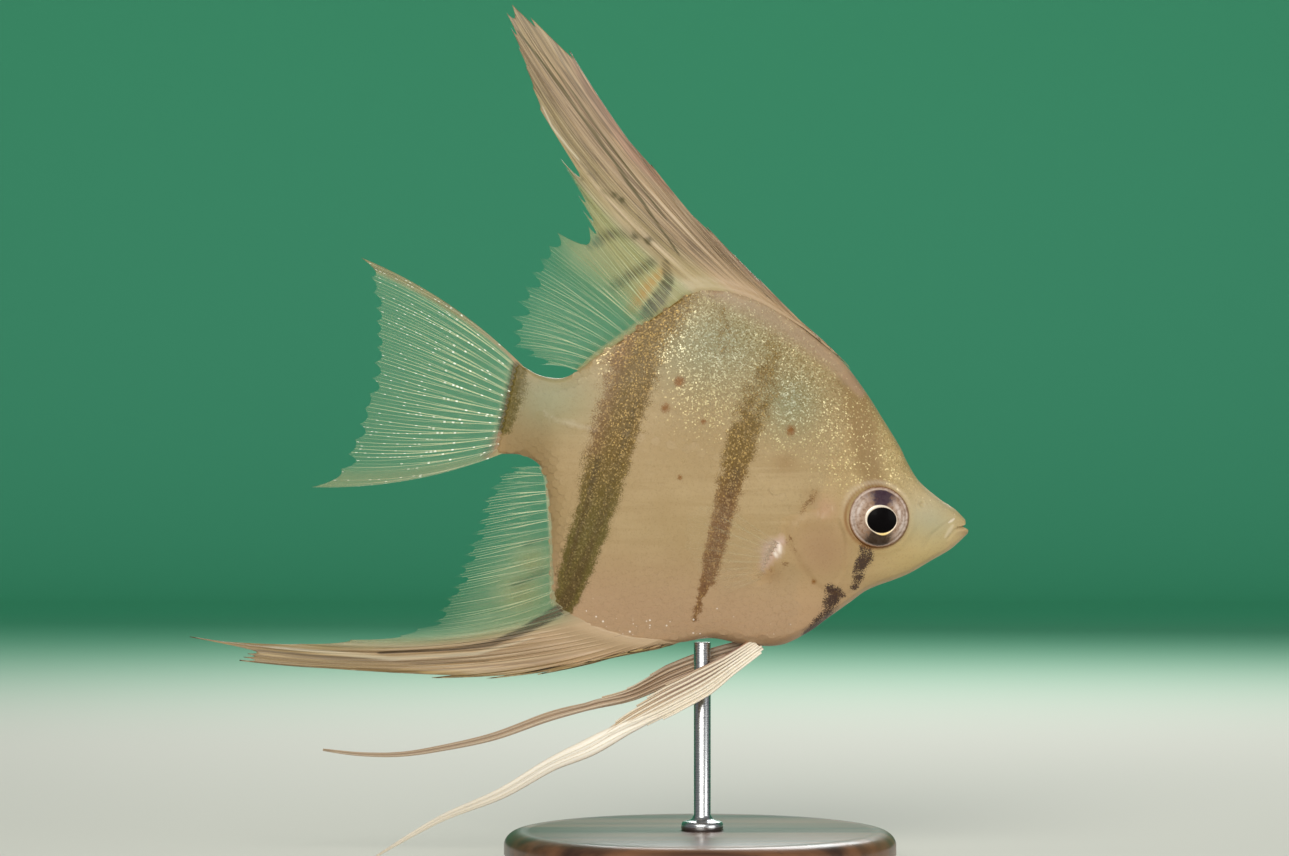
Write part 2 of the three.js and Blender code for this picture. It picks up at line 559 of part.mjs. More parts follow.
// A pectoral fin: a fan that leaves the flank backwards and outwards.
function pectoralFin(side) {
  const columns = 2 * PECTORAL_RAYS - 1;
  const points = [];
  const halves = [];
  for (let c = 0; c < columns; c += 1) {
    const share = c / (columns - 1);
    const place = PECTORAL_TOP.map((value, k) => lerp(value, PECTORAL_BOTTOM[k], share));
    const rise = lerp(PECTORAL_RISE[0], PECTORAL_RISE[1], share);
    const flare = PECTORAL_FLARE * (1 - 0.25 * share);
    const ridge = c % 2 === 0;
    const length = PECTORAL_LENGTH * keyed(PECTORAL_SHARES, share)[0] - (ridge ? 0 : PECTORAL_WEB);
    const start = skinHalf(place) - PECTORAL_SINK;
    points.push([]);
    halves.push([]);
    for (let r = 0; r <= PECTORAL_ROWS; r += 1) {
      const t = r / PECTORAL_ROWS;
      const out = Math.sin(flare) * length * t * (1 - PECTORAL_CURL * t);
      const back = Math.cos(flare) * length * t;
      points[c].push(new THREE.Vector3(
        place[0] - back * Math.cos(rise),
        side * (start + out),
        place[1] + back * Math.sin(rise),
      ));
      halves[c].push(ridge ? lerp(RAY_ROOT, RAY_TIP, t) : lerp(MEMBRANE, MEMBRANE_TIP, t));
    }
  }
  return sheetSolid(points, halves);
}

// ---------------------------------------------------------------------------
// Head pieces
// ---------------------------------------------------------------------------

// An eye, grown by a distance: a flat dome outside, a deeper bowl inside.
function eyeSolid(side, out = 0) {
  const steps = 5;
  const profile = [];
  for (let i = -steps; i <= steps; i += 1) {
    const angle = (Math.PI / 2) * (i / steps);
    const depth = i < 0 ? EYE_BOWL : EYE_DOME;
    const radius = Math.abs(i) === steps ? 0 : (EYE_RADIUS + out) * Math.cos(angle);
    profile.push(new THREE.Vector2(radius, (depth + out) * Math.sin(angle)));
  }
  const geometry = new THREE.LatheGeometry(profile, 24);
  if (side < 0) geometry.rotateX(Math.PI);
  geometry.rotateZ(-side * EYE_TURN);
  const rim = skinHalf(EYE_CENTRE) - EYE_RIM_INSET;
  geometry.translate(EYE_CENTRE[0], side * rim, EYE_CENTRE[1]);
  return solidOfGeometry(geometry);
}

function nostrilPit(side) {
  const geometry = new THREE.SphereGeometry(NOSTRIL_RADIUS, 10, 6);
  geometry.translate(NOSTRIL[0], side * (skinHalf(NOSTRIL) + 0.1), NOSTRIL[1]);
  return solidOfGeometry(geometry);
}

const gillOutline = rounded(GILL_COVER, 34);
const gillGrown = shifted(gillOutline, normalsOf(gillOutline, true), GAP);

function flankPrism(outline, side) {
  return side < 0 ? prism(outline, -FAR, -1) : prism(outline, 1, FAR);
}

// ---------------------------------------------------------------------------
// Stand
// ---------------------------------------------------------------------------

function standBase() {
  const profile = [
    [0, 0], [BASE_RADIUS - BASE_BEVEL, 0], [BASE_RADIUS, BASE_BEVEL],
    [BASE_RADIUS, BASE_HEIGHT - 2 * BASE_STEP], [BASE_RADIUS - BASE_BEVEL, BASE_HEIGHT - BASE_STEP],
    [BASE_RADIUS - BASE_STEP, BASE_HEIGHT - BASE_BEVEL], [BASE_RADIUS - 2 * BASE_STEP, BASE_HEIGHT],
    [0, BASE_HEIGHT],
  ];
  const geometry = new THREE.LatheGeometry(profile.map(([r, z]) => new THREE.Vector2(r, z)), BASE_SIDES);
  geometry.rotateX(Math.PI / 2);
  return solidOfGeometry(geometry);
}

function standRod() {
  const [x, belly] = outlinePoint('lower', ROD_STATION);
  const top = belly + ROD_OVERRUN;
  const foot = BASE_HEIGHT + GAP;
  const profile = [
    [0, foot], [COLLAR_RADIUS, foot], [COLLAR_RADIUS, foot + COLLAR_HEIGHT - COLLAR_BEVEL],
    [COLLAR_RADIUS - COLLAR_BEVEL, foot + COLLAR_HEIGHT], [ROD_RADIUS, foot + COLLAR_HEIGHT],
    [ROD_RADIUS, top], [0, top],
  ];
  const geometry = new THREE.LatheGeometry(profile.map(([r, z]) => new THREE.Vector2(r, z)), ROD_SIDES);
  geometry.rotateX(Math.PI / 2);
  geometry.translate(x, 0, 0);
  return solidOfGeometry(geometry);
}

// ---------------------------------------------------------------------------
// Assembly
// ---------------------------------------------------------------------------

const body = bodySolid();
const around = bodySolid(GAP);
const plateOuter = bodySolid(GILL_RAISE);
const plateInner = bodySolid(-GILL_PLATE);
const plateBed = bodySolid(-GILL_PLATE - GAP);

const SIDES = { right: -1, left: 1 };
const eyes = {};
const gillCovers = {};
let flesh = body;
for (const [name, side] of Object.entries(SIDES)) {
  eyes[name] = eyeSolid(side);
  gillCovers[name] = largest(flankPrism(gillOutline, side).intersect(plateOuter).subtract(plateInner));
  flesh = flesh
    .subtract(eyeSolid(side, GAP))
    .subtract(nostrilPit(side))
    .subtract(flankPrism(gillGrown, side).subtract(plateBed));
}
const pieces = flesh
  .subtract(gapAlong(NECK_CUT))
  .subtract(gapAlong(TAIL_CUT))
  .subtract(gapAlong(MOUTH_CUT))
  .decompose()
  .sort((a, b) => b.volume() - a.volume());
const [trunk, head, tailStalk, lowerJaw] = pieces;

// Trimmed to the skin, with the gap of two nodes that touch.
const bedded = (solid) => largest(solid.subtract(around));
const pectoral = (side) => largest(
  bedded(pectoralFin(side)).subtract(flankPrism(gillGrown, side).intersect(bodySolid(GILL_RAISE + GAP))),
);

const COLOURS = {
  skin: { color: 0xaf966f, roughness: 0.42, metalness: 0.1 },
  plate: { color: 0xb59a84, roughness: 0.35, metalness: 0.15 },
  fin: { color: 0xb3a283, roughness: 0.45, metalness: 0.0 },
  pale: { color: 0xe2d8c6, roughness: 0.45, metalness: 0.0 },
  eye: { color: 0x17120f, roughness: 0.08, metalness: 0.0 },
  wood: { color: 0x3b2417, roughness: 0.4, metalness: 0.0 },
  steel: { color: 0xb9bcc0, roughness: 0.28, metalness: 1.0 },
};

const NODES = [
  ['head', head, 'skin'],
  ['lower_jaw', lowerJaw, 'skin'],
  ['gill_cover_right', gillCovers.right, 'plate'],
  ['gill_cover_left', gillCovers.left, 'plate'],
  ['trunk', trunk, 'skin'],
  ['tail_stalk', tailStalk, 'skin'],
  ['dorsal_fin', bedded(dorsalFin()), 'fin'],
  ['anal_fin', bedded(analFin()), 'fin'],
  ['caudal_fin', bedded(caudalFin()), 'fin'],
  ['pelvic_fin_right', bedded(pelvicFin(PELVIC_RIGHT)), 'pale'],
  ['pelvic_fin_left', bedded(pelvicFin(PELVIC_LEFT)), 'fin'],
  ['pectoral_fin_right', pectoral(SIDES.right), 'pale'],
  ['pectoral_fin_left', pectoral(SIDES.left), 'pale'],
  ['eye_right', eyes.right, 'eye'],
  ['eye_left', eyes.left, 'eye'],
  ['stand_base', standBase(), 'wood'],
  ['stand_rod', bedded(standRod()), 'steel'],
];

const angelfish = new THREE.Group();
for (const [name, solid, finish] of NODES) {
  const mesh = new THREE.Mesh(geometryOf(solid), new THREE.MeshStandardMaterial(COLOURS[finish]));
  mesh.name = name;
  angelfish.add(mesh);
}

export default angelfish;
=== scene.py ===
"""The looks of a life-size freshwater angelfish model on a turned wooden stand.

The fish swims towards +X with its nose down and its right side faces -Y. Sizes
and places are in millimetres in this script, and become metres as a mesh is made.
"""

from __future__ import annotations

import logging
import math
from collections.abc import Callable
from dataclasses import dataclass, field, replace
from enum import Enum
from functools import cached_property, reduce
from itertools import product

import bpy
import numpy as np
from mathutils import Matrix, Vector
from mathutils.bvhtree import BVHTree

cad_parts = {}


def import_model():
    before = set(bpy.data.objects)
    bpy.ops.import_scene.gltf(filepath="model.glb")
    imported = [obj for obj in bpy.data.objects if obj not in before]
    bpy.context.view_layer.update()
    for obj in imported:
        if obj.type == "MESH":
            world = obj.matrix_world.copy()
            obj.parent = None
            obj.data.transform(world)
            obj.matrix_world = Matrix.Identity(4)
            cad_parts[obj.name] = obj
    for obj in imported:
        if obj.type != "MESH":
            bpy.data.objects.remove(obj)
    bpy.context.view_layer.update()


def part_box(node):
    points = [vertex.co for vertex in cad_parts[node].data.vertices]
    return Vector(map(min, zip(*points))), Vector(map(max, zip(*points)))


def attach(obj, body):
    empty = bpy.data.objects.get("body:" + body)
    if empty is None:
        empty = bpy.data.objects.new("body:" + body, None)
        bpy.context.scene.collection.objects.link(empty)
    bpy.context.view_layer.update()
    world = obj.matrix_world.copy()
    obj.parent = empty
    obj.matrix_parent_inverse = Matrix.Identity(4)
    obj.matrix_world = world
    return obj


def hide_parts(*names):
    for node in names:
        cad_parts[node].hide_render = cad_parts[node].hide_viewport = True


LOG = logging.getLogger("angelfish")
MM = 0.001
SEED = 7
ROOT_BODY = "root"
VIEW_AXIS = (-7.93, 62.43)    # X and Z that the model is looked at from, level and from the right
VIEW_DISTANCE = 600.0

Array = np.ndarray
Number = Array | float
Line = tuple[tuple[float, float], ...]
Rows = tuple[tuple[float, ...], ...]
Masks = dict[str, Array]


class Side(Enum):
    """A flank of the fish, as the sign of its Y."""

    RIGHT = -1
    LEFT = 1

    @property
    def word(self) -> str:
        """The side's name in lower case."""
        return self.name.lower()


# ---------------------------------------------------------------------------
# Small maths
# ---------------------------------------------------------------------------


def lerp(a: Number, b: Number, t: Number) -> Number:
    """Straight mix of a and b."""
    return a + (b - a) * t


def unit(values: Number) -> Number:
    """The values, held between 0 and 1."""
    return np.clip(values, 0, 1)


def ease(low: Number, high: Number, x: Array) -> Array:
    """Smooth step from 0 at low to 1 at high."""
    t = unit((x - low) / (high - low))
    return t * t * (3 - 2 * t)


def bell(distance: Array, width: float) -> Array:
    """Gaussian bump of a width."""
    return np.exp(-((distance / width) ** 2))


def most(*values: Number) -> Array:
    """The greatest of several masks at each place."""
    return reduce(np.maximum, values)


def linear(red: int, green: int, blue: int) -> tuple[float, float, float, float]:
    """A screen colour of 0 to 255 as linear light.

    Args:
        red: red part.
        green: green part.
        blue: blue part.

    Returns:
        Linear red, green and blue, with alpha 1.
    """
    parts = [c / 255 for c in (red, green, blue)]
    light = [c / 12.92 if c <= 0.04045 else ((c + 0.055) / 1.055) ** 2.4 for c in parts]
    return (light[0], light[1], light[2], 1.0)


def smooth(values: Array, at: Array) -> Array:
    """A smooth value through evenly spaced numbers, at fractional indices.

    Args:
        values: one number for each whole index.
        at: the indices wanted.

    Returns:
        The values there, on a Catmull-Rom curve.
    """
    last = len(values) - 1
    i = np.clip(np.floor(at).astype(int), 0, last - 1)
    t = at - i
    p0, p1, p2, p3 = (values[np.clip(i + k, 0, last)] for k in (-1, 0, 1, 2))
    lean1, lean2 = (p2 - p0) / 2, (p3 - p1) / 2
    near = ((2 * t - 3) * t * t + 1) * p1 + ((t - 2) * t + 1) * t * lean1
    return near + (3 - 2 * t) * t * t * p2 + (t - 1) * t * t * lean2


def keyed(rows: Rows, key: Array) -> list[Array]:
    """Straight interpolation in rows of (key, value, value...).

    Args:
        rows: the rows, by rising key.
        key: the keys wanted.

    Returns:
        One array for each value of a row.
    """
    table = np.array(rows, float)
    return [np.interp(key, table[:, 0], table[:, k]) for k in range(1, table.shape[1])]


def arc_length(points: Array) -> Array:
    """The length along a line of points, from its start to each point."""
    return np.append(0, np.cumsum(np.linalg.norm(np.diff(points, axis=0), axis=1)))


def between(points: Array, keys: Array, wanted: Array) -> Array:
    """Places on a line of points, by rising keys of the points."""
    return np.stack([np.interp(wanted, keys, values) for values in points.T], -1)


def curved(points: Array, count: int) -> Array:
    """Evenly spaced places on a smooth curve through points."""
    at = np.linspace(0, len(points) - 1, count)
    return np.stack([smooth(values, at) for values in points.T], -1)


def near_segment(x: Array, z: Array, start: tuple, end: tuple) -> tuple[Array, Array]:
    """How far along a segment the nearest point lies, and its distance."""
    (ax, az), (bx, bz) = start[:2], end[:2]
    run = (bx - ax) ** 2 + (bz - az) ** 2
    t = unit(((x - ax) * (bx - ax) + (z - az) * (bz - az)) / run)
    return t, np.hypot(x - lerp(ax, bx, t), z - lerp(az, bz, t))


def stroke(x: Array, z: Array, *lines: Rows) -> Array:
    """How far each place lies inside strokes along lines of points.

    Args:
        x: places in the side view.
        z: places in the side view.
        lines: (x, z, width) along each line.

    Returns:
        1 on the middle of a stroke, 0.5 at its edge, and 0 well outside it.
    """
    best = np.zeros_like(x)
    for rows in lines:
        for start, end in zip(rows, rows[1:]):
            t, off = near_segment(x, z, start, end)
            best = np.maximum(best, unit(1.5 - 2 * off / lerp(start[2], end[2], t)))
    return best


def line_distance(x: Array, z: Array, line: Line) -> Array:
    """The distance from places in the side view to a line of points."""
    return np.minimum.reduce([near_segment(x, z, a, b)[1] for a, b in zip(line, line[1:])])


def inside(x: Array, z: Array, outline: Line) -> Array:
    """Which places lie inside a closed outline."""
    found = np.zeros(np.shape(x), bool)
    for (ax, az), (bx, bz) in zip(outline, outline[1:] + outline[:1]):
        crosses = (az > z) != (bz > z)
        found ^= crosses & (x < (bx - ax) * (z - az) / (bz - az + 1e-12) + ax)
    return found


def flat(points: Array) -> tuple[Array, Array]:
    """Where points of a flank stand in the plane of the fins, for eyes at the usual distance.

    Args:
        points: (count, 3) places in millimetres.

    Returns:
        X and Z, carried away from the axis of view as far as the point stands out.
    """
    grow = 1 + np.abs(points[:, 1]) / VIEW_DISTANCE
    return tuple(axis + (points[:, k] - axis) * grow for k, axis in ((0, VIEW_AXIS[0]), (2, VIEW_AXIS[1])))


def blots(x: Array, z: Array, *rows: tuple[float, float, float]) -> Array:
    """Soft round spots, from rows of (x, z, width)."""
    return most(*(bell(np.hypot(x - a, z - b), w) for a, b, w in rows))


# ---------------------------------------------------------------------------
# Meshes
# ---------------------------------------------------------------------------


def add_object(name: str, data: bpy.types.ID) -> bpy.types.Object:
    """Makes an object of its data and links it to the scene."""
    made = bpy.data.objects.new(name, data)
    bpy.context.scene.collection.objects.link(made)
    return made


def make_piece(name: str, points: Array, faces: Array | list) -> bpy.types.Object:
    """Makes a smooth-shaded object at the origin, with its place in its mesh.

    Args:
        name: the piece's name.
        points: (count, 3) places in millimetres.
        faces: rows of corner indices.

    Returns:
        The linked object.
    """
    mesh = bpy.data.meshes.new(name)
    corners = faces.tolist() if isinstance(faces, Array) else faces
    mesh.from_pydata((points * MM).tolist(), [], corners)
    mesh.shade_smooth()
    return add_object(name, mesh)


def store(mesh: bpy.types.Mesh, name: str, values: Array) -> None:
    """Stores a number for each point of a mesh, or a vector where a row has three."""
    values = np.asarray(values, np.float32)
    kind, key = ("FLOAT", "value") if values.ndim == 1 else ("FLOAT_VECTOR", "vector")
    mesh.attributes.new(name, kind, "POINT").data.foreach_set(key, values.ravel())


def paint(piece: bpy.types.Object, masks: Masks) -> None:
    """Stores each mask under its name."""
    for name, values in masks.items():
        store(piece.data, name, values)


def places(mesh: bpy.types.Mesh) -> Array:
    """The points of a mesh, in millimetres."""
    co = np.zeros(len(mesh.vertices) * 3, np.float32)
    mesh.vertices.foreach_get("co", co)
    return co.reshape(-1, 3).astype(float) / MM


def dress(piece: bpy.types.Object, material: bpy.types.Material, slot: str, *nodes: str) -> None:
    """Gives a finished piece its finish and body, and hides the CAD nodes it stands for."""
    if not piece.data.materials:
        piece.data.materials.append(material)
    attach(piece, ROOT_BODY)
    if nodes:
        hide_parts(*nodes)
    LOG.info("%s: %d faces", piece.name, len(piece.data.polygons))


def grid_faces(rows: int, columns: int, closed: bool) -> Array:
    """Quads over a grid of rows by columns, whose columns may close on themselves."""
    r = np.arange(rows - 1)[:, None]
    c = np.arange(columns if closed else columns - 1)[None, :]
    d = (c + 1) % columns
    corners = [r * columns + c, r * columns + d, (r + 1) * columns + d, (r + 1) * columns + c]
    return np.stack(corners, -1).reshape(-1, 4)


def closed_tube(rings: Array, ends: Array) -> tuple[Array, list]:
    """A tube of rings, closed by a point at either end.

    Args:
        rings: (rows, columns, 3) places.
        ends: the two end points.

    Returns:
        The points and the faces, pointing out.
    """
    rows, columns = rings.shape[:2]
    count = rows * columns
    points = np.concatenate([rings.reshape(-1, 3), ends])
    faces = grid_faces(rows, columns, True).tolist()
    for k in range(columns):
        after = (k + 1) % columns
        faces.append([count, after, k])
        faces.append([count + 1, count - columns + k, count - columns + after])
    middle = rings[rows // 2].mean(0)
    a, b, c = (rings[rows // 2, 0], rings[rows // 2, 1], rings[rows // 2 + 1, 0])
    if np.dot(np.cross(b - a, c - a), a - middle) < 0:
        faces = [face[::-1] for face in faces]
    return points, faces


def lathe(name: str, profile: Line, centre: tuple[float, float], sides: int) -> bpy.types.Object:
    """Turns a profile of (radius, height) round an upright axis.

    Args:
        name: the piece's name.
        profile: from the axis at the bottom to the axis at the top.
        centre: the axis's X and Y.
        sides: faces round it.

    Returns:
        The closed object.
    """
    turn = np.linspace(0, 2 * math.pi, sides, endpoint=False)
    ring = np.array([
        np.stack([centre[0] + r * np.cos(turn), centre[1] + r * np.sin(turn), 0 * turn + z], -1)
        for r, z in profile[1:-1]
    ])
    ends = np.array([[*centre, profile[0][1]], [*centre, profile[-1][1]]])
    return make_piece(name, *closed_tube(ring, ends))


def sheet(points: Array, halves: Array) -> tuple[Array, Array]:
    """A closed sheet over a grid of points, thickened to both sides.

    Args:
        points: (columns, rows, 3) places.
        halves: (columns, rows) half thicknesses.

    Returns:
        The points, first one face and then the other, and the quads.
    """
    columns, rows = halves.shape
    normal = np.cross(np.gradient(points, axis=0), np.gradient(points, axis=1))
    normal /= np.linalg.norm(normal, axis=2, keepdims=True) + 1e-12
    both = [points + normal * halves[..., None], points - normal * halves[..., None]]
    front = grid_faces(columns, rows, False)
    c, r = np.arange(columns), np.arange(rows)
    loop = np.concatenate([
        c * rows, (columns - 1) * rows + r[1:], c[::-1][1:] * rows + rows - 1, r[::-1][1:-1],
    ])
    after = np.roll(loop, -1)
    size = columns * rows
    rim = np.stack([loop, loop + size, after + size, after], -1)
    faces = np.concatenate([front[:, ::-1], front + size, rim])
    return np.concatenate([b.reshape(-1, 3) for b in both]), faces


# ---------------------------------------------------------------------------
# Finishes
# ---------------------------------------------------------------------------


def feed(tree: bpy.types.NodeTree, node: bpy.types.Node, inputs: dict[int | str, Value]) -> None:
    """Sets a node's inputs, by name or number, to constants or to the outputs that feed them."""
    for key, value in inputs.items():
        value = value.socket if isinstance(value, Wire) else value
        if isinstance(value, bpy.types.NodeSocket):
            tree.links.new(value, node.inputs[key])
        else:
            node.inputs[key].default_value = value


def add_node(tree: bpy.types.NodeTree, kind: str, inputs: dict[int | str, Value],
             **settings: str) -> bpy.types.bpy_prop_collection:
    """Adds a node to a tree.

    Args:
        tree: the tree.
        kind: the node's type.
        inputs: a constant, or the output that feeds it, for each input's name or number.
        settings: the node's own properties.

    Returns:
        Its outputs.
    """
    node = tree.nodes.new(kind)
    for key, value in settings.items():
        setattr(node, key, value)
    feed(tree, node, inputs)
    return node.outputs


def math_operator(kind: str, swapped: bool = False) -> Callable:
    """A method of Wire that makes a Math node.

    Args:
        kind: the node's operation.
        swapped: whether the wire is its last number.

    Returns:
        The method.
    """
    def operate(wire: Wire, *others: Value) -> Wire:
        """Joins the wire with the other numbers."""
        values = (*others, wire) if swapped else (wire, *others)
        return wire.shader.node("Math", dict(enumerate(values)), operation=kind)

    return operate


@dataclass(frozen=True)
class Wire:
    """An output of a shader node, which plain arithmetic joins to others by Math nodes."""

    shader: Shader
    socket: bpy.types.NodeSocket

    __add__ = math_operator("ADD")
    __mul__ = math_operator("MULTIPLY")
    __sub__ = math_operator("SUBTRACT")
    __rsub__ = math_operator("SUBTRACT", swapped=True)
    __truediv__ = math_operator("DIVIDE")
    __or__ = math_operator("MAXIMUM")
    __abs__ = math_operator("ABSOLUTE")
    floor = math_operator("FLOOR")
    rounded = math_operator("ROUND")
    fraction = math_operator("FRACT")
    below = math_operator("LESS_THAN")

    def scaled(self, low: Value, high: Value, to_low: float = 0.0, to_high: float = 1.0) -> Wire:
        """Maps low..high smoothly to to_low..to_high."""
        numbers = dict(enumerate((self, low, high, to_low, to_high)))
        return self.shader.node("MapRange", numbers, interpolation_type="SMOOTHSTEP")


Value = Wire | bpy.types.NodeSocket | bpy.types.Material | float | str | tuple


class Shader:
    """Builds one material with short calls for the nodes that it needs."""

    def __init__(self, name: str) -> None:
        """Starts a material with a Principled shader and its output."""
        self.material = bpy.data.materials.new(name)
        self.material.use_nodes = True
        self.tree = self.material.node_tree
        self.tree.nodes.clear()
        self.surface = self.tree.nodes.new("ShaderNodeBsdfPrincipled")
        add_node(self.tree, "ShaderNodeOutputMaterial", {"Surface": self.surface.outputs[0]})
        self.base: Value = (0.0, 0.0, 0.0, 1.0)

    def node(self, kind: str, inputs: dict[int | str, Value], out: int | str = 0, **settings: str) -> Wire:
        """Adds a node.

        Args:
            kind: its type, without the leading ShaderNode.
            inputs: a constant or a wire for each input's name or number.
            out: the name or number of the output wanted.
            settings: the node's own properties.

        Returns:
            The output.
        """
        return Wire(self, add_node(self.tree, f"ShaderNode{kind}", inputs, **settings)[out])

    def over(self, colour: Value, cover: Wire) -> None:
        """Lays a colour over the base, as far as a cover says."""
        self.base = self.mix(cover, self.base, colour)

    def finish(self, **values: Value) -> bpy.types.Material:
        """Sets the Principled shader.

        Args:
            values: its inputs, by their names in lower case with underscores.

        Returns:
            The material.
        """
        names = {name: name.replace("_", " ").title().replace("Ior", "IOR") for name in values}
        feed(self.tree, self.surface, {names[name]: value for name, value in values.items()})
        feed(self.tree, self.surface, {"Base Color": self.base})
        return self.material

    @cached_property
    def place(self) -> Wire:
        """Object coordinates, in metres."""
        return self.node("TexCoord", {}, "Object")

    def mask(self, name: str) -> Wire:
        """A float stored on the mesh."""
        return self.node("Attribute", {}, "Fac", attribute_name=name)

    def mix(self, factor: Value, first: Value, second: Value) -> Wire:
        """Mixes two colours."""
        return self.node("Mix", {0: factor, 6: first, 7: second}, 2, data_type="RGBA")

    def stretched(self, scale: tuple[float, float, float], turn: float = 0.0) -> Wire:
        """Object coordinates stretched along the axes, after a turn about Y."""
        return self.node("Mapping", {"Vector": self.place, "Rotation": (0.0, turn, 0.0), "Scale": scale})

    def noise(self, scale: float, detail: float = 2.0, source: Wire | None = None) -> Wire:
        """Soft noise from 0 to 1, over object coordinates unless another source is given."""
        inputs = {"Vector": source or self.place, "Scale": scale, "Detail": detail}
        return self.node("TexNoise", inputs, "Fac")

    def grid(self, x: Wire, y: Wire, detail: float, z: float = 0.0) -> Wire:
        """Soft noise from 0 to 1 over two numbers, where z picks the pattern."""
        return self.noise(1.0, detail, self.node("CombineXYZ", {0: x, 1: y, 2: z}))

    def chance(self, x: Wire, y: Value) -> Wire:
        """A random number for each pair of two numbers."""
        return self.node("TexWhiteNoise", {"Vector": self.node("CombineXYZ", {0: x, 1: y})}, "Value")

    def cells(self, scale: float) -> tuple[Wire, list[Wire], Wire]:
        """Cells: the distance to the middle, three random numbers, and them as a colour."""
        inputs = {"Vector": self.place, "Scale": scale}
        outputs = add_node(self.tree, "ShaderNodeTexVoronoi", inputs)
        parts = add_node(self.tree, "ShaderNodeSeparateColor", {0: outputs["Color"]})
        gap, colour = Wire(self, outputs["Distance"]), Wire(self, outputs["Color"])
        return gap, [Wire(self, part) for part in parts], colour

    def bump(self, height: Wire, strength: float, distance: float, **more: Wire) -> Wire:
        """A bump from a height of 0 to 1 that stands for a distance in metres."""
        inputs = {"Height": height, "Strength": strength, "Distance": distance, **more}
        return self.node("Bump", inputs)

    def vectors(self, kind: str, inputs: dict[int | str, Value], out: int | str = 0) -> Wire:
        """A Vector Math node of a kind."""
        return self.node("VectorMath", inputs, out, operation=kind)

    def spots(self, rows: Rows, ragged: Wire) -> Wire:
        """Round spots in the side view, from rows of (x, z, radius) in millimetres."""
        level = self.vectors("MULTIPLY", {0: self.place, 1: (1.0, 0.0, 1.0)})
        found = 0.0
        for x, z, radius in rows:
            off = self.vectors("DISTANCE", {0: level, 1: (x * MM, 0.0, z * MM)}, "Value")
            found = (off * (1 / (radius * MM)) + ragged).scaled(1.5, 0.3) | found
        return found

    def tilted(self, random: Wire, amount: Wire) -> Wire:
        """The surface normal, tilted by a random colour of a cell times an amount."""
        normal = self.node("NewGeometry", {}, "Normal")
        centred = self.vectors("SUBTRACT", {0: random, 1: (0.5, 0.5, 0.5)})
        grown = self.vectors("SCALE", {0: centred, "Scale": amount})
        return self.vectors("NORMALIZE", {0: self.vectors("ADD", {0: normal, 1: grown})})


